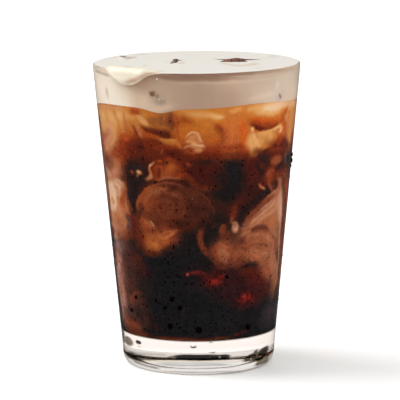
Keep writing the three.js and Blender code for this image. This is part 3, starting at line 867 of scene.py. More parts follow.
    spot(264, 222, 22, 12, "cork", 1, soft=0.5, turn=22),
    spot(273, 212, 12, 16, "wing cork", 0.9, soft=0.6, turn=-10),
    trail([(245, 229), (254, 221), (263, 212), (272, 203), (281, 194)], [3, 7.4, 9.6, 9.6, 6],
          "wing wing cork", 1, soft=1.6, grain=0.1),
    spot(276, 205, 8, 14, "peach wing", 0.8, soft=0.8, turn=-20),
    spot(266, 214, 14, 7, "wing cork", 0.6, turn=30),
    spot(272, 221, 10, 6, "copper cork", 0.75, turn=10),
    trail([(243, 225), (248.5, 218), (254, 211.6), (261, 205), (270, 198), (277, 193.4)],
          [0.8, 2, 2.4, 2.2, 1.8, 1], "sienna cedar", 0.9, soft=(1, 3)),
    trail([(242, 220), (246, 212.4), (252, 205), (260, 197.6), (268, 191.6), (275, 188.6)],
          [2.2, 3.2, 3.4, 3.4, 2.6, 1.4], "night murk", 1, soft=(1.4, 1.2)),
    trail([(246, 202), (254, 194), (262, 188)], [2, 3.4, 2], "maroon murk", 0.7, soft=(2.4, 2)),
    trail([(249, 224), (259, 216), (269, 207), (278, 198)], [0.4, 0.8, 0.9, 0.5], "peach", 0.6, soft=1.2),
    trail([(256, 223), (266, 216), (276, 208)], [0.4, 0.7, 0.4], "blush", 0.55, soft=1),
    trail([(259, 211), (266, 204.6), (273, 199)], [0.4, 0.6, 0.4], "shellpink", 0.5, soft=0.9),
    trail([(280.6, 186), (279.6, 198), (279.4, 212), (278.6, 226)], [0.9, 1.6, 1.6, 1.2],
          "shellpink peach", 0.8, soft=(1.6, 1)),
    trail([(240, 228.6), (248, 227.6), (254, 225.4), (260, 221.6)], [0.4, 0.7, 0.8, 0.4], "peach", 0.75,
          soft=(0.7, 0.9)),
    trail([(242, 231), (250, 229), (257, 226)], [0.5, 1, 0.5], "tan", 0.6, soft=1),
    # the hook, and the spark above the wing: a painted glint of light
    spot(270, 180, 8, 6, "rust redbrown", 0.8),
    trail([(277.6, 178), (280, 183), (279.5, 189), (275, 192)], [0.8, 1.6, 1.6, 0.8], "wing cork", 0.9,
          soft=(1.2, 1.4)),
    trail([(274.6, 181), (277, 183), (275.6, 187.6), (272, 187.4), (271.4, 184)], [1, 1.4, 1.4, 1.1, 0.7],
          "claret murk", 0.95, soft=0.7),
    trail([(268, 181.6), (270.4, 186), (272.6, 190.6)], [0.6, 1.2, 0.8], "rosewood", 0.8, soft=0.8),
    # the spark: a painted glint
    trail([(258.6, 181.6), (261, 185.6), (264.4, 188.8)], [0.4, 1.2, 0.7], "flame caramel tan", 0.9,
          soft=(0.8, 0.9)),
    trail([(262, 186.4), (265, 188.8)], [0.5, 0.8], "tan", 0.8, soft=0.6),
    # the fan under the wing, with a painted shadow arc under the wing's fold
    spot(261, 243, 24, 19, "cork fan", 1, soft=0.45, turn=-12),
    spot(266, 251, 15, 9, "cork fan", 0.85),
    spot(258, 256, 18, 7, "cork", 0.85, soft=0.8, turn=-14),
    spot(275, 240, 8, 14, "cork wing", 0.75),
    spot(274, 226, 7, 5, "copper", 0.7, soft=1),
    spot(275, 228, 8, 14, "wing", 0.6),
    spot(264, 255, 11, 6, "wing cork", 0.5),
    # painted shadow under the wing's fold
    trail([(250, 233), (254, 229.6), (259, 227.6), (265, 227.6), (269.6, 230.6)],
          [0.8, 1.8, 2.4, 2.4, 1.2], "dusk chestnut", 0.9, soft=(1.4, 1.8)),
    trail([(240, 236), (246, 233), (252, 231)], [0.6, 1.2, 0.6], "tan", 0.6, soft=1),
    trail([(245, 239), (252, 235), (260, 234.6), (267, 237), (272, 243)], [0.4, 0.8, 1, 0.9, 0.5], "wing",
          0.65, soft=1.2),
    trail([(268, 231), (273, 236), (275.6, 243), (273.6, 250)], [0.3, 0.6, 0.6, 0.4], "dusk", 0.55,
          soft=0.8),
    trail([(247, 246.4), (255, 243.6), (263, 244.6), (268.6, 248.4)], [0.3, 0.5, 0.6, 0.4], "dusk", 0.7,
          soft=(0.7, 0.8)),
    spot(241, 241, 5, 4, "murk dusk", 0.7),
    trail([(238, 247), (243, 249.6), (247, 248)], [0.6, 1.6, 0.8], "dusk", 0.7, soft=1),
    trail([(240, 252), (250, 254), (259, 259.6), (266, 266)], [0.6, 1.4, 1.6, 0.8], "tan cork", 0.75,
          soft=(1.2, 1.4)),
    trail([(246, 250), (256, 250.6), (266, 254), (273, 260)], [0.4, 0.9, 1, 0.5], "wing", 0.6, soft=1),
    spot(247, 258, 11, 5, "cork fan", 0.85, soft=0.8, turn=-20),
    trail([(232, 249.6), (236.6, 254.4), (241, 260)], [0.35, 0.5, 0.3], "peach wing", 0.8,
          soft=(0.6, 0.8)),
    trail([(237, 251), (245, 254.6), (253, 261)], [0.4, 0.6, 0.4], "wing", 0.6, soft=1),
    trail([(234, 253), (239, 259), (243, 264)], [0.3, 0.6, 0.3], "dusk", 0.5, soft=0.8),
    spot(270, 268, 9, 12, "cork fan", 0.9, turn=12),
    trail([(267, 256), (271, 266), (274, 277), (275.4, 290)], [5, 5.6, 4.2, 2], "wing cork", 0.9,
          soft=(1.2, 3.4)),
    # the lobe of cream at the tip of the fan
    spot(232, 255, 16, 10, "cork sienna", 0.95, soft=0.8, turn=14),
    spot(226, 263, 13, 7, "cork sienna", 0.9, turn=16),
    spot(238, 263, 11, 6, "sienna cedar", 0.9, turn=12),
    spot(221, 251, 14, 13, "cork sienna cedar", 1, soft=0.6, turn=-12, grain=0.12),
    spot(226, 245, 9, 6, "sienna cork", 0.8),
    spot(223, 256, 8, 6, "wing cork", 0.6, soft=0.95),
    spot(212, 252, 5, 7, "sienna cedar", 0.7),
    trail([(211, 257), (216, 262), (224, 266)], [1.4, 2.4, 1.4], "cedar sienna", 0.8, soft=1.6),
    trail([(216, 254), (219, 250.6), (224, 250.8), (227.6, 254), (226.6, 259), (222, 261)],
          [0.6, 1.1, 1.2, 1.2, 1.1, 0.6], "tan wing", 0.5, soft=(1.4, 1.5)),
    spot(222, 256, 1.8, 1.5, "cedar", 0.7, soft=0.8),
    trail([(219, 241), (223, 245), (229, 247)], [0.5, 1, 0.5], "tan", 0.5, soft=1.2),
    trail([(214, 269), (224, 268), (233, 265.6), (241, 262)], [0.4, 0.9, 0.9, 0.4], "wing sienna", 0.45,
          soft=(1.6, 1.8)),
    # the painted glow along the left edge, and painted red-brown light at the lower left
    trail([(118.6, 272), (120.5, 288), (122.5, 304), (125, 320)], [1.6, 2, 1.8, 1.6],
          "greypink greypink mauve", 0.8, soft=(1.4, 4)),
    trail([(119, 250), (120.4, 266), (122.4, 284), (125, 304), (127.6, 322)], [2.2, 3.6, 4.4, 4.4, 3.6],
          "cedar glow glow", 0.95, soft=(14, 2)),
    trail([(118.2, 258), (119, 270), (120.7, 290), (122.4, 305), (123.8, 319)], [1, 1.6, 2, 1.6, 1.2],
          "glow rosyedge", 0.75, soft=(8, 1)),
    spot(137, 266, 12, 10, "dusk haze", 0.7, turn=-20),
    spot(142, 268, 9, 8, "maroon haze", 0.6, turn=-30),
    spot(145, 291, 8, 8, "slate", 0.5),
    trail([(119, 276), (121, 288), (123, 300)], [1.6, 2.4, 1.6], "rose greypink", 0.7, soft=(1.4, 3)),
    spot(137, 258, 8, 4, "redbrown", 0.5, soft=1),
    spot(135.6, 299, 6, 8, "cedar chestnut", 0.4, soft=0.95),
    trail([(131, 303), (132, 296), (137, 291.6), (143, 293)], [0.5, 1, 1.1, 0.5], "sienna", 0.6,
          soft=(1.4, 2)),
    spot(131, 313, 9, 7, "plum night", 0.75),
    trail([(124, 320), (132, 325), (143, 328)], [2.6, 5, 5], "cedar sienna cedar", 0.8, soft=(4.5, 3)),
    trail([(142, 312), (144, 320), (146, 328)], [1.6, 3, 3], "chestnut murk", 0.4, soft=(3.4, 3.6)),
    trail([(127, 331), (137, 334), (150, 335.6)], [1.4, 2, 1.4], "chestnut cedar", 0.85, soft=1.6),
    spot(154, 327, 7, 5, "haze", 0.8, soft=1),
    spot(141.5, 306.5, 1.1, 1, "sienna", 0.7, soft=0.6),
    spot(150, 316, 5, 4, "haze", 0.6, soft=1),
    # the floor line
    trail([(146, 336), (163, 338.6), (182, 340), (200, 340.4), (219, 339.8), (238, 337.4)],
          [0.8, 1.2, 1.3, 1.3, 1.2, 0.7], "redbrown chestnut", 0.85, soft=(1, 0.6)),
    trail([(233, 334.6), (240, 333), (247, 331)], [0.4, 0.8, 0.4], "garnet", 0.8, soft=0.8),
    # the red lights at the lower right: painted glow, light shining through the coffee
    spot(236, 284, 40, 20, "haze", 0.95, turn=-14),
    spot(258, 280, 15, 11, "claret", 0.95, turn=-20),
    spot(250, 272, 14, 5, "claret redbrown", 0.8, turn=-10),
    spot(222, 268, 12, 4, "redbrown haze", 0.6),
    trail([(184, 274.8), (191, 273), (200, 273.4), (209, 277)], [0.3, 0.8, 1.6, 3], "garnet claret", 0.75,
          soft=(2.6, 2.8), grain=0.5),
    spot(216, 279, 14, 8, "claret", 0.8, turn=8, grain=0.6),
    spot(216, 280.6, 12, 6.6, "garnet garnet claret", 0.9, turn=10, grain=0.55),
    spot(213, 282.6, 5, 2.8, "ember", 0.4, turn=10, grain=0.5),
    spot(221, 277.6, 5, 2, "ember", 0.25, turn=20, grain=0.5),
    trail([(186, 275.4), (189, 274.6)], [0.6, 0.9], "flame", 0.8, soft=0.8),
    trail([(190, 273), (198, 274), (206, 276)], [0.4, 0.8, 0.5], "ember", 0.5, soft=1.4, grain=0.8),
    spot(227, 277, 2.8, 2.6, "haze night", 0.9, soft=0.6),
    spot(250, 299, 17, 10, "claret haze", 0.7, grain=0.4),
    spot(247, 298, 11, 7, "garnet garnet claret", 0.9, turn=6, grain=0.6),
    spot(245, 299, 6, 3.6, "ember garnet", 0.55, grain=0.55),
    spot(225, 296, 9, 5, "haze", 0.7),
    spot(240, 306, 12, 4, "haze", 0.8, soft=1),
    spot(264, 292, 10, 10, "claret haze", 0.7),
    trail([(270, 284), (271.6, 292), (271, 300)], [1.6, 2.4, 1.4], "bronze dusk", 0.65, soft=(2, 2.4)),
    spot(264, 270, 10, 7, "fan", 0.8, turn=-40),
    trail([(258, 262), (264, 272), (268, 284)], [1, 2.6, 1.4], "cork fan", 0.7, soft=(2.4, 3)),
    spot(269, 314, 8, 14, "plum", 0.7),
    trail([(276.6, 300), (275.6, 311), (274, 322)], [0.8, 1.4, 0.8], "plum", 0.8, soft=(2.4, 1)),
    # the strips at the two silhouettes: painted shade where the glass's edge darkens, and at the right a
    # pale strip of painted side light
    trail([(281.8, 190), (281, 206), (280.4, 222), (279.4, 240), (278.4, 258), (277, 276)],
          [0.6, 0.8, 0.8, 0.7, 0.7, 0.4], "shellpink pink", 0.7, soft=(0.9, 0.6)),
    trail([(287.4, 168), (286, 190), (284.4, 212), (283, 234), (281.4, 256), (279.6, 278), (278, 292)],
          [1.6, 1.9, 1.5, 1.9, 1.6, 1.6, 1.2], "spice rust bark", 0.95, soft=(3, 1), grain=0.25),
    trail([(98.6, 112), (100.5, 128), (102.5, 146), (104.4, 160)], [1, 1, 1.2, 1], "teak cedar", 0.85,
          soft=(0.6, 1)),
    trail([(105.2, 166), (107, 180), (108.8, 196), (110.4, 212), (112, 226)], [0.5, 0.6, 0.6, 0.7, 0.7],
          "bark teak", 0.85, soft=(0.4, 0.8), grain=0.2),
    spot(112.6, 231, 1.8, 4.4, "cedar wine", 0.9, soft=0.5),
    trail([(113.4, 238), (114, 243)], 0.9, "black", 1, soft=(0.5, 0.6)),
    trail([(114.6, 247), (116, 258), (117.4, 268)], [0.8, 0.9, 0.8], "teak murk", 0.6, soft=(0.5, 0.6)),
    trail([(116.4, 274), (118.2, 288), (120.2, 302), (122, 318)], [0.6, 0.7, 0.7, 0.6], "night cocoa",
          0.8, soft=(0.5, 0.8)),
]


def foam_line_at(azimuth):
    height = FOAM_LINE
    for centre, width, rise in FOAM_WAVES:
        off = (azimuth - centre + 180) % 360 - 180
        height = height + rise * np.exp(-((off / width) ** 2))
    return height


coffee_corner = arc(floor_wall, BASE_THICKNESS + FLOOR_CORNER, FLOOR_CORNER + INTO_WALL,
                    FLOOR_CORNER + INTO_WALL, -90, 0, 8)
coffee_top = (inner_radius(FOAM_LINE) + INTO_WALL, FOAM_LINE)
coffee_profile = np.array([
    (0, BASE_THICKNESS - INTO_WALL),
    *line((0, BASE_THICKNESS - INTO_WALL), coffee_corner[0], 6),
    *coffee_corner,
    *line(coffee_corner[-1], coffee_top, COFFEE_ROWS),
    (coffee_top[0], coffee_top[1] - EDGE_LOOP),
    coffee_top,
    (coffee_top[0] * 0.8, FOAM_LINE),
    (0, FOAM_LINE),
])


def coffee_place(azimuth, row):
    r, z = coffee_profile[row].T
    wall = inner_radius(z) + INTO_WALL
    reach = np.clip(r / wall, 0, 1)
    wave = foam_line_at(azimuth) - FOAM_LINE
    z = z + wave * reach ** 3 * ease(z, FOAM_LINE - WAVE_DEPTH, FOAM_LINE)
    return np.where(reach > 0.97, inner_radius(z) + INTO_WALL + r - wall, r), z


def lattice(x, y, z, seed):
    """A fixed number from -1 to 1 for each whole place, by mixing its bits."""
    mixed = (x * 374761393 + y * 668265263 + z * 1440662683 + seed * 1274126177) & 0xFFFFFFFF
    mixed = ((mixed ^ (mixed >> 13)) * 1274126177) & 0xFFFFFFFF
    return ((mixed ^ (mixed >> 16)) & 0xFFFF) / 32767.5 - 1


def value_noise(x, y, z, seed):
    """Goes softly from one lattice place's number to the next one's."""
    cell = [np.floor(v).astype(np.int64) for v in (x, y, z)]
    part = [v - c for v, c in zip((x, y, z), cell)]
    part = [p * p * (3 - 2 * p) for p in part]
    total = 0.0
    for i in (0, 1):
        for j in (0, 1):
            for k in (0, 1):
                weight = (part[0] if i else 1 - part[0]) * (part[1] if j else 1 - part[1])
                weight = weight * (part[2] if k else 1 - part[2])
                total = total + weight * lattice(cell[0] + i, cell[1] + j, cell[2] + k, seed)
    return total


def cloud(x, y, z, size, seed, octaves=3):
    """Noise in lumps of this size in mm, with finer lumps on them."""
    total, gain = 0.0, 1.0
    for octave in range(octaves):
        total = total + gain * value_noise(x / size, y / size, z / size, seed + octave)
        size, gain = size * 0.5, gain * 0.5
    return total / 1.6


def sway(place, seed):
    """How far marks are drawn aside at each point, in mm: a slow sway and a finer one."""
    return SWAY * cloud(*place, SWAY_SIZE, seed) + RIPPLE * cloud(*place, RIPPLE_SIZE, seed + 6, 2)


class Canvas:
    """Points to paint, by how far they are across, in units of so many mm, and up."""

    def __init__(self, place, across, up, unit, drift=1.0):
        self.a = across + drift * sway(place, 11) / unit
        self.h = up + drift * sway(place, 23)
        self.unit = unit
        self.colour = np.zeros((up.size, 3))

    def put(self, rows, mask, colour):
        self.colour[rows] += mask[:, None] * (colour - self.colour[rows])


def pigment(name):
    return np.array(PIGMENT[name]) / 255.0


def blend(at, spots, names):
    """The colours at at, between pigments that stand at spots."""
    tints = np.array([pigment(name) for name in names])
    return np.stack([np.interp(at, spots, tints[:, k]) for k in range(3)], -1)


def smooth_path(points, fine=6):
    """A smooth curve through points, in so many steps from each to the next."""
    p = np.array(points, float)
    ends = np.vstack([2 * p[0] - p[1], p, 2 * p[-1] - p[-2]])
    out = []
    for i in range(1, len(ends) - 2):
        a, b, c, d = ends[i - 1:i + 3]
        for k in range(fine):
            t = k / fine
            out.append(0.5 * (2 * b + (c - a) * t + (2 * a - 5 * b + 4 * c - d) * t ** 2
                              + (3 * b - a - 3 * c + d) * t ** 3))
    out.append(p[-1])
    return np.array(out)


def stroke(wall, path, widths, colours, soft, strength, grain, seed):
    """A trail of cream, coffee, painted light or painted shade. soft is in mm at its left and right
    edge, seen along it, and its colours go from its left edge to its right one."""
    path = smooth_path(path)
    path[:, 0] *= wall.unit
    margin = max(widths) + 1.4 * max(soft) + 0.5
    centre = path[:, 0].mean()
    turn = 360 * wall.unit
    x = (wall.a * wall.unit - centre + turn / 2) % turn - turn / 2 + centre
    rows = np.nonzero(
        (x > path[:, 0].min() - margin) & (x < path[:, 0].max() + margin)
        & (wall.h > path[:, 1].min() - margin) & (wall.h < path[:, 1].max() + margin)
    )[0]
    if rows.size == 0:
        return
    x, h = x[rows], wall.h[rows]
    best = np.full(rows.size, 1e9)
    side = np.zeros(rows.size)
    along = np.zeros(rows.size)
    pieces = len(path) - 1
    for i in range(pieces):
        dx, dz = path[i + 1] - path[i]
        t = ((x - path[i, 0]) * dx + (h - path[i, 1]) * dz) / (dx * dx + dz * dz + 1e-12)
        t = np.clip(t, 0, 1)
        ox, oz = x - path[i, 0] - t * dx, h - path[i, 1] - t * dz
        near = ox * ox + oz * oz < best
        best = np.where(near, ox * ox + oz * oz, best)
        side = np.where(near, np.sign(dx * oz - dz * ox), side)
        along = np.where(near, (i + t) / pieces, along)
    dist = np.sqrt(best)
    half = np.interp(along, np.linspace(0, 1, len(widths)), widths)
    blur = np.where(side > 0, soft[0], soft[1]) * SOFTEN
    dist = dist + FRAY * blur * value_noise(x / FRAY_SIZE, h / FRAY_SIZE, along * 0 + seed, 83 + seed)
    mask = 1 - ease(dist, half - blur * BLUR_INSIDE, half + blur * (1 - BLUR_INSIDE))
    lasting = ease(along, 0, FADE) * (1 - ease(along, 1 - FADE, 1))
    mask = mask * mix(LEFT_AT_ENDS, 1, lasting)
    across = 0.5 - 0.5 * side * dist / np.maximum(half, 0.01)
    colour = blend(across, np.linspace(0, 1, len(colours)), colours)
    length = np.hypot(*np.diff(path, axis=0).T).sum()
    lines = value_noise(across * half * THREADS + 7.3 * seed, along * length / THREAD_LENGTH,
                        along * 0 + seed, 41 + seed)
    wall.put(rows, mask * strength, colour * (1 + grain * lines[:, None]))


def blob(wall, at, size, colours, soft, turn, strength, grain, seed):
    """A round of colour. soft is the share of its radius over which it fades, and its colours
    go from its middle to its edge."""
    x = ((wall.a - at[0] + 180) % 360 - 180) * wall.unit
    h = wall.h - at[1]
    reach = max(size) * (1 + soft)
    rows = np.nonzero((np.abs(x) < reach) & (np.abs(h) < reach))[0]
    if rows.size == 0:
        return
    x, h = x[rows], h[rows]
    c, s = math.cos(math.radians(turn)), math.sin(math.radians(turn))
    across, up = x * c + h * s, -x * s + h * c
    rho = np.hypot(across / size[0], up / size[1])
    mask = (1 - ease(rho, 1 - soft, 1 + soft * 0.5)) * strength
    colour = blend(rho, np.linspace(0, 1, len(colours)), colours)
    lines = value_noise(across / FLECK_SIZE, up / FLECK_SIZE, across * 0 + seed, 61 + seed)
    wall.put(rows, mask, colour * (1 + grain * lines[:, None]))


def paint(canvas, marks, seed, widest=360):
    """Paints marks one over another, those that begin less than widest from the front."""
    for index, (kind, first, *facts) in enumerate(marks):
        begins = first[0] if kind == B else first[0][0]
        if abs(begins) < widest:
            (stroke if kind == S else blob)(canvas, first, *facts, seed=seed + index)


def points_of(piece):
    flat = np.empty(len(piece.data.vertices) * 3)
    piece.data.vertices.foreach_get("co", flat)
    return flat.reshape(-1, 3) / MM


def light_on_wall(azimuth):
    """How much of the light falls on the drink's side. Its seen colours are divided by this."""
    left = ease(DARKEST_AT - azimuth, 0, LIGHT_SPREAD)
    right = ease(azimuth - DARKEST_AT, 0, LIGHT_SPREAD)
    lit = (LIGHT_AT_FRONT + (LIGHT_AT_LEFT - LIGHT_AT_FRONT) * left
           + (LIGHT_AT_RIGHT - LIGHT_AT_FRONT) * right)
    return lit + (LIGHT_AT_BACK - lit) * ease(np.abs(azimuth), BACK_BEGINS, 180)


def dye(piece, name, seen, light, crossings=1):
    """Stores seen colours, as the surface's own colours in linear light. The tint of glass acts
    by half at each of its crossings."""
    linear = np.where(seen <= 0.04045, seen / 12.92, ((seen + 0.055) / 1.055) ** 2.4) ** crossings
    layer = piece.data.color_attributes.new(name, "FLOAT_COLOR", "POINT")
    four = np.ones((len(linear), 4))
    four[:, :3] = np.clip(linear / np.reshape(light, (-1, 1)), 0.001, 0.99)
    layer.data.foreach_set("color", four.ravel())


coffee = wrapped("coffee_and_cream", COFFEE_STEPS, len(coffee_profile), coffee_place)
x, y, z = points_of(coffee).T
azimuths = np.degrees(np.arctan2(x, -y))
turned = (azimuths + 360) % 360 - 180 + REAR_TURN * cloud(x, y, z, REAR_SIZE, 71, 2)
raised = z + REAR_RISE * cloud(x, y, z, REAR_SIZE, 77, 2)
wall = Canvas((x, y, z), azimuths, z, MM_PER_DEGREE)
rear = Canvas((x, y, z), turned, raised, MM_PER_DEGREE)
for side, widest in ((wall, 360), (rear, REAR_WIDEST)):
    side.colour = blend(side.h, *zip(*LEVELS))
    paint(side, TRAILS, 0, widest)
behind = ease(np.abs(azimuths) + REAR_FRAY * cloud(x, y, z, 6, 83, 2), REAR_BEGINS, REAR_ALONE)
wall.colour += behind[:, None] * (rear.colour - wall.colour)
haze = np.clip(cloud(x, y, z, HAZE_SIZE, 91, 2), 0, 1) * (1 - ease(z, HAZE_LOW, HAZE_HIGH))
wall.colour += haze[:, None] * np.array(HAZE)
# The coffee's underside is painted pale: a painted brightening of what the heel shows of it by
# reflection.
wall.colour[z < z.min() + UNDERSIDE] = pigment("settled")
dye(coffee, "marbling", np.clip(wall.colour, 0, 1), light_on_wall(azimuths))


CLOUD_SCALE = 420
GRAIN_SCALE = 1500
SPECKS = ((820, 0.5), (1700, 0.62))
SPECK_SIZE = 0.85
PALE_IS_SMOOTH = 1.9
LEAST_MOTTLE = 0.1


def mottle_group():
    """Clouds, grain and specks over a colour, fainter where it is pale: fine cream in coffee,
    pores in foam."""
    group = bpy.data.node_groups.new("mottle", "ShaderNodeTree")
    for name, kind in (("Colour", "NodeSocketColor"), ("Clouds", "NodeSocketFloat"),
                       ("Grain", "NodeSocketFloat"), ("Specks", "NodeSocketFloat")):
        group.interface.new_socket(name, in_out="INPUT", socket_type=kind)
    group.interface.new_socket("Colour", in_out="OUTPUT", socket_type="NodeSocketColor")
    nodes, links = group.nodes, group.links
    given = nodes.new("NodeGroupInput")
    out = nodes.new("NodeGroupOutput")
    where = nodes.new("ShaderNodeTexCoord")

    def math_node(operation, first, second):
        node = nodes.new("ShaderNodeMath")
        node.operation = operation
        for socket, value in zip(node.inputs, (first, second)):
            if isinstance(value, (int, float)):
                socket.default_value = value
            else:
                links.new(value, socket)
        return node.outputs[0]

    weigh = nodes.new("ShaderNodeRGBToBW")
    links.new(given.outputs["Colour"], weigh.inputs["Color"])
    pale = math_node("MULTIPLY", weigh.outputs["Val"], PALE_IS_SMOOTH)
    depth = math_node("SUBTRACT", 1.0, pale)
    depth = math_node("MAXIMUM", depth, LEAST_MOTTLE)
    total = 1.0
    for name, scale in (("Clouds", CLOUD_SCALE), ("Grain", GRAIN_SCALE)):
        noise_node = nodes.new("ShaderNodeTexNoise")
        noise_node.inputs["Scale"].default_value = scale
        noise_node.inputs["Detail"].default_value = 2
        links.new(where.outputs["Object"], noise_node.inputs["Vector"])
        off = math_node("SUBTRACT", noise_node.outputs["Fac"], 0.5)
        total = math_node("ADD", math_node("MULTIPLY", off, given.outputs[name]), total)
    total = math_node("ADD", math_node("MULTIPLY", math_node("SUBTRACT", total, 1.0), depth), 1.0)
    strength = math_node("MULTIPLY", given.outputs["Specks"], math_node("POWER", depth, 2.0))
    for scale, least in SPECKS:
        cells = nodes.new("ShaderNodeTexVoronoi")
        cells.inputs["Scale"].default_value = scale
        links.new(where.outputs["Object"], cells.inputs["Vector"])
        tone = nodes.new("ShaderNodeSeparateColor")
        links.new(cells.outputs["Color"], tone.inputs["Color"])
        above = math_node("SUBTRACT", tone.outputs["Red"], least)
        size = math_node("MULTIPLY", above, SPECK_SIZE)
        speck = math_node("LESS_THAN", cells.outputs["Distance"], size)
        dark = math_node("MULTIPLY", speck, strength)
        total = math_node("MULTIPLY", total, math_node("SUBTRACT", 1.0, dark))
    tinted = nodes.new("ShaderNodeVectorMath")
    tinted.operation = "SCALE"
    links.new(given.outputs["Colour"], tinted.inputs[0])
    links.new(total, tinted.inputs["Scale"])
    links.new(tinted.outputs["Vector"], out.inputs["Colour"])
    return group


MOTTLE = mottle_group()


def mottled(nodes, links, attribute, clouds, grain, specks):
    """The colours that a piece holds under this name, mottled."""
    colour = nodes.new("ShaderNodeAttribute")
    colour.attribute_name = attribute
    mottle = nodes.new("ShaderNodeGroup")
    mottle.node_tree = MOTTLE
    links.new(colour.outputs["Color"], mottle.inputs["Colour"])
    mottle.inputs["Clouds"].default_value = clouds
    mottle.inputs["Grain"].default_value = grain
    mottle.inputs["Specks"].default_value = specks
    return mottle.outputs["Colour"]


brew, nodes, links, shader = new_material("coffee_and_cream")
shader.inputs["Roughness"].default_value = 0.5
shader.inputs["Specular IOR Level"].default_value = 0.0
marbled = mottled(nodes, links, "marbling", clouds=0.8, grain=1.1, specks=1.0)
links.new(marbled, shader.inputs["Base Color"])
coffee.data.materials.append(brew)
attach(coffee, "root")
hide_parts("cold_brew")

# The heavy base, where the dark coffee shows in it: brown-black streaks and blobs along the heel,
# drops on it, and the fine lines of the foot ring. They are painted into the glass as a tint: the
# streaks and blobs are painted reflections of the dark coffee in the heel, and the drops are painted
# dark. They are named at their pixels in the photo and found on its outer surface.
BASE_MM_PER_DEGREE = 0.57
TINT_STEP_ROUND = 0.25
TINT_STEP_UP = 0.1
TINT_TOP = 40
TINT_SIDE = 88
TINT_OUTSIDE_OF = 28.5
TINT_BELOW = 21
SKIN_DEPTH = 1.5


def on_outside(azimuths, heights):
    """Gives a function that finds a pixel of the photo on the glass's outer surface: the
    nearest of points at these azimuths and heights."""
    azimuth, z = (grid.ravel() for grid in np.meshgrid(azimuths, heights))
    under = np.clip((HEEL_RISE - z) / HEEL_RISE, 0, 1)
    radius = np.where(z < HEEL_RISE, RING_OUTER + heel_width * np.sqrt(1 - under ** 2),
                      outer_radius(z))
    angle = np.radians(azimuth)
    place = np.stack([radius * np.sin(angle), -radius * np.cos(angle), z], -1)
    right, up, back = ((place - EYE) @ VIEW).T
    shown_x = PHOTO_MIDDLE - LENS_PIXELS * right / back
    shown_y = PHOTO_MIDDLE + LENS_PIXELS * up / back

    def find(x, y):
        nearest = np.argmin((shown_x - x) ** 2 + (shown_y - y) ** 2)
        return float(azimuth[nearest]), float(z[nearest])

    return find


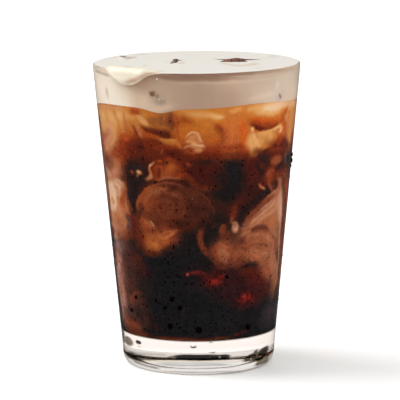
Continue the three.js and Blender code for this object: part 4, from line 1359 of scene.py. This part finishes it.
tinted_part = on_outside(np.arange(-TINT_SIDE, TINT_SIDE, TINT_STEP_ROUND),
                         np.arange(0, TINT_TOP, TINT_STEP_UP))
pencil = Pencil(tinted_part, BASE_MM_PER_DEGREE, step=1.5, thinnest=0.15)
spot, trail = pencil.spot, pencil.trail
BASE_MARKS = [
    # the foot ring's edge, all the way round, in degrees and mm
    (S, [(-179, 1), (-90, 1), (90, 1), (179, 1)], [4, 4, 4, 4], ["glint"], (0.8, 0.8), 1.0, 0),
    # left end: a dark edge, a blotch and a grey block
    trail([(123, 328), (123.4, 336), (124.4, 344)], [0.5, 0.8, 0.5], "soot", 0.85, soft=0.4),
    spot(128, 341, 4.2, 4.6, "stone", 0.95, soft=0.35, grain=0.1),
    # streak along the heel, a painted reflection of the dark coffee
    trail([(126, 352.6), (134, 355.6), (146, 357.6), (160, 357.8)], [1.8, 2.8, 2.4, 1.6], "moss basalt",
          0.8, soft=1.2, grain=0.5),
    trail([(133, 353.2), (150, 354.4), (170, 354.8)], [1.6, 1.4, 0.8], "moss", 0.75, soft=1),
    trail([(131, 357.2), (140, 357.8), (152, 358.2)], [1.6, 2.1, 1.5], "basalt soot", 0.6, soft=0.6,
          grain=0.25),
    trail([(148, 358), (162, 358.2), (174, 358)], [1.3, 1.2, 1.4], "stone basalt", 0.85, soft=(0.8, 0.6),
          grain=0.3),
    trail([(170, 357.6), (186, 357.3), (204, 357.6), (226, 357.3), (231, 357.3)],
          [1.8, 2.8, 2.8, 2.7, 1.4], "pitch", 1, soft=0.5, grain=0.2),
    spot(209.5, 356.8, 0.5, 0.9, "chalk", 0.7, soft=0.5, grain=0.04),
    spot(219.5, 357.4, 0.6, 1.5, "chalk", 0.7, soft=0.5, grain=0.04),
    trail([(229, 357.4), (238, 358.4), (246, 359)], [1.7, 2, 2], "moss pearl", 0.8, soft=0.8, grain=0.4),
    # right end: a blob over a dark wedge
    trail([(243, 360.4), (250, 358), (257, 356)], [1.5, 3.2, 3.4], "pitch basalt", 0.95, soft=0.6,
          grain=0.3),
    trail([(254, 358.6), (259, 359), (264, 357.8)], [1.8, 2, 1], "pitch umber2", 0.9, soft=0.5,
          grain=0.3),
    trail([(254, 353.8), (258, 351.4)], [1.8, 1.9], "basalt", 0.9, soft=0.5),
    spot(263.6, 351.2, 5.8, 4.2, "pitch basalt", 1, soft=0.3, turn=8, grain=0.1),
    trail([(257.5, 355.2), (261, 356.4), (266, 356)], [0.4, 0.5, 0.4], "sandstone", 0.9, soft=0.4),
    spot(251.2, 359, 0.7, 0.9, "chalk", 0.8, soft=0.5, grain=0.04),
    spot(247.6, 358, 0.6, 0.8, "chalk", 0.7, soft=0.5, grain=0.04),
    trail([(255, 364.4), (262, 362), (269, 358.4)], [1, 1.2, 0.8], "umber2 basalt", 0.85, soft=0.5,
          grain=0.3),
    # drops and dashes on the cream part, painted dark, with a painted shadow under the first drop
    spot(138.3, 342.2, 2.7, 2, "pitch", 1, soft=0.35, grain=0.04),
    spot(139.2, 346.6, 2.2, 0.9, "dove", 0.5, soft=0.6, grain=0.04),
    trail([(190.8, 346.6), (193.5, 347.3), (196.2, 346.6)], [0.8, 0.9, 0.8], "pitch", 1, soft=0.3,
          grain=0),
    trail([(209.3, 342.4), (213, 342.6)], 0.35, "stone", 0.8, soft=0.4, grain=0),
    trail([(209.2, 352.3), (212.5, 352.6), (215.9, 352.2)], [0.45, 0.5, 0.45], "basalt", 0.9, soft=0.3,
          grain=0),
    trail([(209.2, 351.2), (212.5, 351.3), (215.9, 351.1)], [0.4, 0.5, 0.4], "glint", 0.9, soft=0.3,
          grain=0),
    # lines of the foot ring
    trail([(138, 361.6), (160, 361.4), (200, 361), (240, 361.6)], [0.5, 0.8, 0.8, 0.5], "ivoryline", 0.9,
          soft=0.5),
    trail([(150, 363.6), (190, 363.4), (236, 364)], [0.9, 1.2, 0.8], "mist", 0.8, soft=0.9),
    trail([(160, 364.6), (176, 365.6), (204, 365.4), (232, 364.8)], [0.35, 0.5, 0.45, 0.35], "dove", 0.8,
          soft=0.5),
    trail([(150, 366), (176, 368.2), (204, 368.2), (240, 366.6)], [0.35, 0.4, 0.4, 0.3], "dove", 0.6,
          soft=0.5),
    trail([(132, 360), (146, 365.6), (160, 369)], [0.5, 0.6, 0.5], "basalt", 0.6, soft=0.5),
    trail([(160, 371), (200, 372.4), (240, 370.6)], [0.4, 0.5, 0.4], "dove", 0.6, soft=0.6),
]
x, y, z = points_of(tumbler).T
azimuths = np.degrees(np.arctan2(x, -y))
reach = np.hypot(x, y)
heavy = Canvas((x, y, z), azimuths, z, BASE_MM_PER_DEGREE, drift=0.25)
heavy.colour[:] = pigment("clear")
paint(heavy, BASE_MARKS, 200)
skin = (z < BASE_THICKNESS) | (reach > inner_radius(z) + SKIN_DEPTH)
skin &= (reach > TINT_OUTSIDE_OF) & (z < TINT_BELOW)
seen = np.where(skin[:, None], heavy.colour, pigment("clear"))
dye(tumbler, "base_tint", np.clip(seen, 0, 1), 1.0, crossings=2)

# The cold foam: whipped milk, poured last. It floats on the coffee, stands a little proud of
# the lip, and at the front left a lobe of it has run over the lip and hangs down the glass.
# Its colours hold painted shade under the lip, under the lobe and in its fold, and painted light
# lines beside them.
FOAM_STEPS = 420
FOAM_CROWN = 0.7
FOAM_EDGE_ROLL = 4.0
EDGE_START = -9.0
LOBE = [
    (-66, 0), (-62, 0), (-55, 2.3), (-48.5, 4.9), (-43, 6.0), (-38, 5.9), (-34.5, 5.0), (-30, 2.9),
    (-26, 1.3), (-20, 0.3), (-12, 0), (-8, 0),
]
LOBE_LEFT = (-68, -60)
LOBE_RIGHT = (-26, -14)
LOBE_REACH = (-7, -1)
LOBE_GROWS = 3.2
BAND_FADES = (118, 127)
CONTACT = 2.1
LOBE_THICK = 1.5
LOBE_FOLD = 0.55
TOP_POINTS = 40
EDGE_POINTS = 44
UNDER_POINTS = 26
WALL_POINTS = 30
BOTTOM_POINTS = 4
FOAM_INTO_WALL = 0.16
LIGHT_ON_TOP = 1.27
LIGHT_ON_LOBE = 1.32

# Colours round the band seen through the glass: palest at the left and darkest at the front, partly
# coffee staining and partly painted shade away from the key light at the left. Towards the lip they turn
# to the second colour.
BAND = [
    (-180, ("bisque", "shell")), (-120, ("oat", "cloud")), (-85, ("milk", "milk")),
    (-68, ("milk", "oat")), (-55, ("milk", "oat")), (-45, ("oat", "latte")),
    (-37, ("latte", "latte")), (-30, ("latte", "taupe")), (-18, ("taupe", "taupe")),
    (0, ("mocha", "mocha")), (20, ("mocha", "taupe")), (32, ("fawn", "fawn")),
    (44, ("bisque", "fawn")), (58, ("bisque", "bisque")), (75, ("shell", "bisque")),
    (120, ("latte", "bisque")), (180, ("bisque", "shell")),
]
BAND_SPOTS = [
    (B, (-24, 119.6), (5.4, 4.6), ["sage", "latte"], 1.0, 0, 0.55, 0.05),
    (B, (-21, 117.2), (3.4, 2.4), ["sage", "taupe"], 0.6, 20, 0.8, 0.05),
    (B, (-26, 120.6), (1.5, 1.0), ["nougat", "nutmeg"], 0.5, 40, 0.8, 0.1),
    (S, [(-28, 121.4), (-26, 120.2), (-24.5, 119.8)], [0.2, 0.35, 0.2], ["nutmeg"], (0.3, 0.3), 0.8, 0.1),
    (S, [(-22.5, 120.6), (-23.2, 119.6), (-23, 118.8)], [0.2, 0.35, 0.2], ["nougat"],
     (0.3, 0.3), 0.7, 0.1),
    (B, (55.5, 117.3), (2.8, 1.7), ["lilac", "lilac"], 0.8, 25, 0.7, 0.04),
    (B, (55.7, 117.4), (1.5, 0.55), ["nougat", "nougat"], 0.6, -55, 0.9, 0.05),
    (B, (70, 123.5), (1.5, 1.8), ["lilac", "latte"], 0.8, 0, 0.6, 0.05),
    (S, [(53, 124.5), (52, 122.5), (52.5, 120.6)], [0.4, 0.6, 0.4], ["cloud"], (0.9, 0.9), 0.5, 0.02),
    (S, [(-62.5, 121.5), (-62, 118), (-61, 115.5)], [0.5, 0.7, 0.5], ["smoke", "sage"],
     (0.9, 1.2), 0.6, 0.02),
    # painted shadow of the hanging lobe on the band
    (S, [(-44, 126), (-34, 123.0), (-26, 124.6)], [1.0, 1.6, 1.0], ["pleat", "taupe"],
     (1.8, 1.8), 0.5, 0.05),
    # painted shade under the lip, along the top of the band
    (S, [(-26, 127.6), (-6, 127.2), (14, 127.2), (34, 127.4)], [0.6, 1.0, 0.9, 0.4],
     ["lipshade", "lipshade"], (0.5, 0.8), 0.85, 0.02),
    (S, [(14, 127.4), (40, 127.4), (60, 127.4), (76, 127.6)], [0.4, 0.7, 0.6, 0.3],
     ["taupe", "fawn"], (0.5, 0.8), 0.85, 0.02),
    (S, [(-20, 128.6), (0, 128.5), (40, 128.5), (70, 128.6)], [0.4, 0.5, 0.4, 0.2],
     ["lipdark", "lipshade"], (0.4, 0.5), 0.8, 0.02),
    # a painted light line under the lip's shade
    (S, [(-14, 125.4), (10, 125.2), (40, 125.4), (66, 125.6)], [0.25, 0.35, 0.35, 0.25],
     ["bisque"], (0.5, 0.7), 0.45, 0.02),
    # at the left, a painted highlight and a painted shadow line on the rim
    (S, [(-82, 125.4), (-68, 125.2), (-56, 124.9)], [0.5, 0.7, 0.4], ["chalk"], (0.5, 0.7), 0.8, 0.02),
    (S, [(-80, 127.0), (-68, 126.7), (-58, 126.2)], [0.3, 0.4, 0.3], ["sage"], (0.6, 0.6), 0.6, 0.02),
    (S, [(-80, 115.4), (-60, 116.4), (-44, 115.4)], [0.9, 1.0, 0.7], ["milk"], (1.6, 1.2), 0.8, 0.03),
    (S, [(-38, 114.4), (-24, 114.4), (-12, 116)], [0.8, 0.9, 0.7], ["latte"], (1.4, 1.2), 0.6, 0.03),
    (S, [(30, 117.4), (42, 118.6), (52, 119.4)], [0.7, 0.8, 0.5], ["shell"], (1.2, 1.2), 0.5, 0.03),
]
TOP_SPOTS = [
    (B, (-24, 28), (4.0, 5.0), ["smoke"], 0.9, 0, 0.4, 0.03),
    (B, (33, 16), (2.6, 5.0), ["smoke"], 0.9, 0, 0.45, 0.03),
    (B, (26, -27), (3.0, 5.0), ["cloud"], 0.9, 0, 0.6, 0.03),
    (B, (-29.5, -20), (2.6, 3.4), ["toffee"], 0.9, 0, 0.5, 0.03),
    (B, (-21.8, -18), (1.2, 2.6), ["toffee"], 0.9, 0, 0.4, 0.03),
    (S, [(7.5, 3.5), (12, 1.5), (17, 0.5), (22, 1.5), (27, 4)], [0.6, 1.8, 2.4, 1.8, 0.5],
     ["cacao", "nutmeg"], (0.7, 0.7), 0.95, 0.3),
    # painted shade: a tan ring round a low mound of foam before the right ice tip
    (S, [(11, -7), (13.5, -16), (18, -20), (23, -16), (25, -8)], [0.8, 1.4, 1.6, 1.4, 0.8],
     ["toffee"], (2.0, 2.0), 0.5, 0.04),
    # the centre ice tip's sliver: a painted lilac reflection on one side, coffee-dark on the other
    (S, [(-12, -6), (-9.5, -3), (-7, 1)], [1.0, 1.3, 1.0], ["lilac", "cacao"], (0.6, 0.6), 0.8, 0.1),
    # painted shade under the centre ice tip
    (B, (-6.5, -10), (2.0, 4.4), ["toffee"], 0.9, 0, 0.6, 0.04),
    (S, [(-36, 16), (-31, 17.4), (-25, 16)], [0.6, 1.3, 0.6], ["toffee", "toffee"], (1.0, 1.0), 0.7, 0.1),
]
LOBE_SPOTS = [
    (B, (-54, 128.4), (5.0, 1.8), ["custard", "chalk"], 0.8, 0, 0.7, 0.02),
    (B, (-44, 126.6), (6.0, 2.2), ["custard"], 0.9, 0, 0.9, 0.02),
    # painted shade in the lobe's fold
    (B, (-36, 126.1), (5.8, 1.5), ["pleat", "nectar"], 0.9, 26, 0.85, 0.04),
    (B, (-29, 127.9), (3.6, 0.9), ["pleat", "nectar"], 0.9, 26, 0.7, 0.04),
    (B, (-24, 129.2), (3.0, 0.5), ["pleat"], 0.9, 10, 0.6, 0.04),
    # a painted light line along the lobe's rolled lower edge
    (S, [(-49, 124.2), (-43, 123.2), (-37, 123.3), (-31, 125.4), (-26, 127.2)],
     [0.5, 0.7, 0.7, 0.5, 0.3], ["chalk"], (0.5, 0.6), 0.75, 0.02),
]
quarter = LIP_RADIUS * math.pi / 2
lobe_path = smooth_path(LOBE)


def lip_path(distance, proud):
    """Up the inner wall, round the lip from distance 0, then down the outer wall."""
    if distance < 0:
        z = LIP_Z + distance
        return inner_radius(z) - proud, z
    if distance < 2 * quarter:
        angle = math.pi - distance / LIP_RADIUS
        reach = LIP_RADIUS + proud
        return LIP_R + reach * math.cos(angle), LIP_Z + reach * math.sin(angle)
    z = LIP_Z - (distance - 2 * quarter)
    return outer_radius(z) + proud, z


def over_lip(distance, height):
    """Level towards the lip, and from its top, at distance 0, over it and down outside."""
    if distance < 0:
        return LIP_R + distance, GLASS_HEIGHT + height
    turn = math.pi / 2 - min(distance, quarter) / LIP_RADIUS
    reach = LIP_RADIUS + height
    below = max(distance - quarter, 0)
    r = LIP_R + reach * math.cos(turn) - below * WALL_SLOPE
    return r, LIP_Z + reach * math.sin(turn) - below


def foam_profile(azimuth):
    """The foam's outline at an azimuth: its top from the middle out, its edge on the lip or
    hanging over it, then down the inner wall and back along the coffee."""
    contact = CONTACT + float(np.interp(azimuth, lobe_path[:, 0], lobe_path[:, 1]))
    if contact < 0:
        reach, end = -LIP_RADIUS, LIP_Z + contact - GLASS_HEIGHT
    elif contact < quarter:
        turn = math.pi - contact / LIP_RADIUS
        reach, end = LIP_RADIUS * math.cos(turn), LIP_RADIUS * (math.sin(turn) - 1)
    else:
        reach, end = contact - quarter, 0.0
    lobe = float(ease(contact, CONTACT, CONTACT + LOBE_GROWS))
    start_r = LIP_R + EDGE_START
    crown_at_start = FOAM_CROWN * (1 - (start_r / LIP_R) ** 2)
    points = []
    for i in range(TOP_POINTS):
        r = start_r * i / TOP_POINTS
        points.append((r, GLASS_HEIGHT + FOAM_CROWN * (1 - (r / LIP_R) ** 2)))
    for i in range(EDGE_POINTS + 1):
        share = 1 - (1 - i / EDGE_POINTS) ** 1.6
        at = mix(EDGE_START, reach, share)
        roll = max(0.0, (at - reach + FOAM_EDGE_ROLL) / FOAM_EDGE_ROLL)
        plain = mix(crown_at_start, end, roll ** 2.2)
        thick = mix(crown_at_start, LOBE_THICK, float(ease(share, 0.1, 0.62)))
        thick += LOBE_FOLD * math.exp(-(((share - 0.86) / 0.09) ** 2))
        nose = max(0.0, (share - 0.87) / 0.13)
        hanging = end + (thick - end) * math.sqrt(max(0.0, 1 - nose ** 2))
        points.append(over_lip(at, mix(plain, hanging, lobe)))
    for i in range(1, UNDER_POINTS + 1):
        along = mix(contact, -0.8, i / UNDER_POINTS)
        points.append(lip_path(along, -FOAM_INTO_WALL * min(1, i / 3)))
    top = points[-1][1]
    line_height = float(foam_line_at(azimuth))
    for i in range(1, WALL_POINTS + 1):
        z = mix(top, line_height, i / WALL_POINTS)
        points.append((inner_radius(z) + FOAM_INTO_WALL, z))
    rim = points[-1][0]
    points.insert(-1, (rim, line_height + EDGE_LOOP))
    for i in range(1, BOTTOM_POINTS + 1):
        share = 1 - i / BOTTOM_POINTS
        points.append((rim * share, mix(FOAM_LINE, line_height, share ** 3)))
    return points


foam_count = TOP_POINTS + EDGE_POINTS + UNDER_POINTS + WALL_POINTS + BOTTOM_POINTS + 2


def foam_place(azimuth, row):
    turns, which = np.unique(np.round(azimuth, 3), return_inverse=True)
    sections = np.array([foam_profile(float(turn)) for turn in turns])
    return sections[which, row].T


foam = wrapped("cold_foam_top", FOAM_STEPS, foam_count, foam_place)
x, y, z = points_of(foam).T
azimuths = np.degrees(np.arctan2(x, -y))
reach = np.hypot(x, y)
in_lip = np.hypot(reach - LIP_R, z - LIP_Z) < LIP_RADIUS - 0.05
behind_glass = (reach > inner_radius(z) - 0.2) & (reach < outer_radius(z)) & ((z < LIP_Z) | in_lip)
band = Canvas((x, y, z), azimuths, z, MM_PER_DEGREE, drift=0.3)
spots = [a for a, _ in BAND]
for level in (0, 1):
    row = blend(azimuths, spots, [names[level] for _, names in BAND])
    share = 1.0 if level == 0 else ease(z, *BAND_FADES)[:, None]
    band.colour = mix(band.colour, row, share)
paint(band, BAND_SPOTS, 300)
top = Canvas((x, y, z), x, y, 1.0)
top.colour[:] = pigment("foam")
paint(top, TOP_SPOTS, 400)
hung = Canvas((x, y, z), azimuths, z, MM_PER_DEGREE)
hung.colour[:] = pigment("custard")
paint(hung, LOBE_SPOTS, 500)
outside = ease(reach, LIP_R + LOBE_REACH[0], LIP_R + LOBE_REACH[1])
outside = outside * ease(azimuths, *LOBE_LEFT) * (1 - ease(azimuths, *LOBE_RIGHT))
shown = mix(top.colour, hung.colour, outside[:, None])
shown = np.where(behind_glass[:, None], band.colour, shown)
light = mix(LIGHT_ON_TOP, LIGHT_ON_LOBE, ease(LIP_Z - z, -1.2, 1.0))
light = np.where(behind_glass, light_on_wall(azimuths), light)
dye(foam, "foam_tint", np.clip(shown, 0, 1), light)

cream, nodes, links, shader = new_material("cold_foam")
fine = mottled(nodes, links, "foam_tint", clouds=0.05, grain=0.06, specks=0.0)
links.new(fine, shader.inputs["Base Color"])
shader.inputs["Roughness"].default_value = 0.45
shader.inputs["Subsurface Weight"].default_value = 0.25
shader.inputs["Subsurface Radius"].default_value = (1.0, 0.7, 0.5)
shader.inputs["Subsurface Scale"].default_value = 0.002
foam.data.materials.append(cream)
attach(foam, "root")
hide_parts("cold_foam")

# The ice: three clear cubes stained by the coffee. They float in the foam with one corner up,
# wet and dark red-brown where they are bare, and with cream over the rest of what shows.
ICE_TIPS = [
    ("ice_right", (17.0, -5.0, 130.6), 13.0),
    ("ice_centre", (-8.0, -3.6, 130.6), 2.2),
    ("ice_left", (-31.5, 13.2, 130.4), 0.9),
]
ICE_DARK = (0.012, 0.004, 0.003, 1)
ICE_BROWN = (0.20, 0.055, 0.022, 1)
CREAM_ON_ICE = (0.68, 0.62, 0.54, 1)
CREAM_EDGE = 1.0


def stained_ice(name, tip, bare):
    """Dark, wet ice within bare mm of its tip, and cream over the rest."""
    material, nodes, links, shader = new_material("stained_" + name)
    where = nodes.new("ShaderNodeTexCoord")
    grains = nodes.new("ShaderNodeTexNoise")
    grains.inputs["Scale"].default_value = 900
    grains.inputs["Detail"].default_value = 3
    links.new(where.outputs["Object"], grains.inputs["Vector"])
    stain = nodes.new("ShaderNodeValToRGB")
    stain.color_ramp.elements[0].position = 0.36
    stain.color_ramp.elements[0].color = ICE_DARK
    stain.color_ramp.elements[1].position = 0.62
    stain.color_ramp.elements[1].color = ICE_BROWN
    links.new(grains.outputs["Fac"], stain.inputs["Fac"])
    away = nodes.new("ShaderNodeVectorMath")
    away.operation = "DISTANCE"
    away.inputs[1].default_value = [value * MM for value in tip]
    links.new(where.outputs["Object"], away.inputs[0])
    cover = nodes.new("ShaderNodeMapRange")
    cover.inputs["From Min"].default_value = bare * MM
    cover.inputs["From Max"].default_value = (bare + CREAM_EDGE) * MM
    links.new(away.outputs["Value"], cover.inputs["Value"])
    coat = nodes.new("ShaderNodeMix")
    coat.data_type = "RGBA"
    coat.inputs["B"].default_value = CREAM_ON_ICE
    links.new(cover.outputs["Result"], coat.inputs["Factor"])
    links.new(stain.outputs["Color"], coat.inputs["A"])
    links.new(coat.outputs["Result"], shader.inputs["Base Color"])
    shader.inputs["Roughness"].default_value = 0.12
    return material


for name, tip, bare in ICE_TIPS:
    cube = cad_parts[name]
    cube.data.materials.clear()
    cube.data.materials.append(stained_ice(name, tip, bare))

# The wet edges of the ice, which stand out of the foam: low, uneven ridges of dark, stained ice
# with painted glints on them, white flecks in their colour. The centre one's lilac end is a
# painted reflection.
CRESTS = [
    ((8.6, -6.5), (22.4, -5.7), 1.35, 1.1, ["cacao", "nutmeg", "cacao"], 0.8),
    # the centre crest: a painted lilac reflection at its start, coffee-dark after
    ((-11.6, -13.0), (-7.0, -3.0), 1.25, 1.0, ["lilac", "mauve_ice", "jet", "jet"], 0.35),
    ((-34.7, 12.6), (-25.2, 12.2), 0.5, 0.8, ["toffee", "amber_ice", "toffee", "toffee"], 0.2),
]
CREST_STEPS = 110
CREST_ROWS = 16
CREST_FOOT = GLASS_HEIGHT + 0.25
GLINT_FROM = 0.95
GLINT_FULL = 1.1


def crest(name, start, end, height, half_width, colours, rough):
    """A ridge of ice from start to end, in mm. rough is how uneven and how grained it is, and how
    strong its painted glints are.
    """
    maker = bmesh.new()
    bmesh.ops.create_grid(maker, x_segments=CREST_STEPS, y_segments=CREST_ROWS, size=1)
    along = Vector(end) - Vector(start)
    side = Vector((-along.y, along.x)).normalized()
    middle = (Vector(start) + Vector(end)) / 2
    for vertex in maker.verts:
        u, v = vertex.co.x, vertex.co.y
        bump = noise.noise(Vector((u * along.length, v * 2.5, height * 9)) * 0.9)
        rise = height * (1 - abs(u) ** 1.7) * math.sqrt(max(0, 1 - v * v))
        rise *= 1 + rough * bump
        flat = middle + along * (u / 2) + side * (v * half_width * (1.05 - abs(u) ** 2))
        vertex.co = Vector((flat.x, flat.y, CREST_FOOT + rise)) * MM
    bmesh.ops.recalc_face_normals(maker, faces=maker.faces)
    ridge = object_of(maker, name)
    x, y, z = points_of(ridge).T
    share = ((x - start[0]) * along.x + (y - start[1]) * along.y) / along.length_squared
    seen = blend(share, np.linspace(0, 1, len(colours)), colours)
    grains = value_noise(x / 0.55, z / 0.4, y * 0.5, 71)
    grains += 0.5 * value_noise(x / 0.3, z / 0.25, y, 73)
    seen = seen * (1 + rough * grains)[:, None]
    # painted glints: the brightest grains are turned white
    glint = ease(grains, GLINT_FROM, GLINT_FULL) * rough
    seen = mix(seen, pigment("chalk"), glint[:, None])
    dye(ridge, "stain", np.clip(seen, 0, 1), 1.0)
    material, nodes, links, shader = new_material(name)
    grained = mottled(nodes, links, "stain", clouds=0.0, grain=1.2 * rough, specks=0.0)
    links.new(grained, shader.inputs["Base Color"])
    shader.inputs["Roughness"].default_value = 0.25
    ridge.data.materials.append(material)
    return ridge


for (node, _, _), facts in zip(ICE_TIPS, CRESTS):
    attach(crest(node + "_crest", *facts), "root")

# The condensation: small drops of water on the outside of the glass. Those over the coffee are
# painted near black, a painted shade for the coffee's dark that the drops bend into view, and
# those on the foam are painted pale, a painted brightness. The photo's own are given by their
# pixels and a size in mm, those at its sides by azimuth and height, and the rest are sown.
DARK_IN_PHOTO = [
    (172, 299, 1.16), (180, 308, 1.09), (132, 310, 1.01), (136, 297, 0.94), (156, 300, 0.87),
    (165, 308, 0.94), (170, 326, 1.45), (199, 330, 1.59), (248, 327, 1.45), (227, 277, 0.8),
]
DARK_AT_SIDES = [
    (84, 90.0, 1.16), (85, 87.4, 1.3), (84, 85.2, 0.87), (86, 80.0, 0.4), (88, 46.0, 0.45),
    (86, 27.0, 0.4), (-87.5, 79.2, 0.35), (-87.8, 51.0, 0.4),
]
BRIGHT_IN_PHOTO = [
    (127, 90, 0.42), (119, 83, 0.3), (157, 79, 0.4), (159, 100, 0.32), (123, 98, 0.3), (114, 81, 0.3),
]
BRIGHT_AT_SIDES = [
    (-19.0, 118.6, 0.26), (-25.0, 116.4, 0.24), (-87.0, 124.2, 0.4), (-88, 119.5, 0.7),
    (-87.2, 117.8, 0.5), (-86.8, 113.6, 0.4),
]
MOUTH_MIDDLE = 196.5
MOUTH_HALF = 102.2
RIM_IN_PHOTO = [104.5, 120, 135.3, 144.7, 168, 222, 245.6, 253, 262.5, 268, 275.5, 288.5]
DROP_SOWING = [
    (1100, (19, 52), (0.09, 0.3), 0), (30, (4, 17), (0.10, 0.22), 0),
    (180, (50, 88), (0.08, 0.2), 0), (120, (100, 126), (0.09, 0.17), 1),
    (24, (70, 105), (0.09, 0.15), 1),
]
DROP_ROUND = 8
DROP_TALL = 5
DROP_FLATNESS = 0.5
DROP_WIDTH = 0.92

ball = bmesh.new()
bmesh.ops.create_uvsphere(ball, u_segments=DROP_ROUND, v_segments=DROP_TALL, radius=MM)
one_drop = bpy.data.meshes.new("one_drop")
ball.to_mesh(one_drop)
ball.free()


def add_drop(maker, azimuth, height, size):
    """Adds a flattened drop of this half height in mm to the glass's outer wall."""
    angle = math.radians(azimuth)
    outward = Vector((math.sin(angle), -math.cos(angle), 0))
    sideways = Vector((math.cos(angle), math.sin(angle), 0))
    place = outward * outer_radius(height) + Vector((0, 0, height))
    turn = Matrix((sideways, outward, Vector((0, 0, 1)))).transposed().to_4x4()
    shape = Matrix.Diagonal((size * DROP_WIDTH, size * DROP_FLATNESS, size, 1))
    drop = one_drop.copy()
    drop.transform(Matrix.Translation(place * MM) @ turn @ shape)
    maker.from_mesh(drop)
    bpy.data.meshes.remove(drop)


sowing = random.Random(16)
dark_drops, bright_drops = bmesh.new(), bmesh.new()
find = on_outside(np.arange(-90, 90.1, 0.25), np.arange(0, 129, 0.2))
for maker, in_photo, at_sides in ((dark_drops, DARK_IN_PHOTO, DARK_AT_SIDES),
                                  (bright_drops, BRIGHT_IN_PHOTO, BRIGHT_AT_SIDES)):
    for x, y, size in in_photo:
        azimuth, height = find(x, y)
        add_drop(maker, tenth(azimuth), tenth(height), size)
    for azimuth, height, size in at_sides:
        add_drop(maker, azimuth, height, size)
for x in RIM_IN_PHOTO:
    azimuth = 180 - math.degrees(math.asin((x - MOUTH_MIDDLE) / MOUTH_HALF))
    add_drop(dark_drops, round(azimuth), LIP_Z, sowing.uniform(0.2, 0.34))
for count, heights, sizes, bright in DROP_SOWING:
    for _ in range(count):
        facts = (sowing.uniform(-180, 180), sowing.uniform(*heights), sowing.uniform(*sizes))
        add_drop(bright_drops if bright else dark_drops, *facts)
bpy.data.meshes.remove(one_drop)
# the drops' colours are painted: near black over the coffee, pale on the foam
for name, maker, tone, gloss in (
    ("condensation_over_coffee", dark_drops, (0.001, 0.0007, 0.0007, 1), 0.02),
    ("condensation_over_foam", bright_drops, (0.75, 0.70, 0.62, 1), 0.5),
):
    drops = object_of(maker, name)
    water, nodes, links, shader = new_material(name)
    shader.inputs["Base Color"].default_value = tone
    shader.inputs["Roughness"].default_value = 0.08
    shader.inputs["Specular IOR Level"].default_value = gloss
    drops.data.materials.append(water)
    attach(drops, "root")
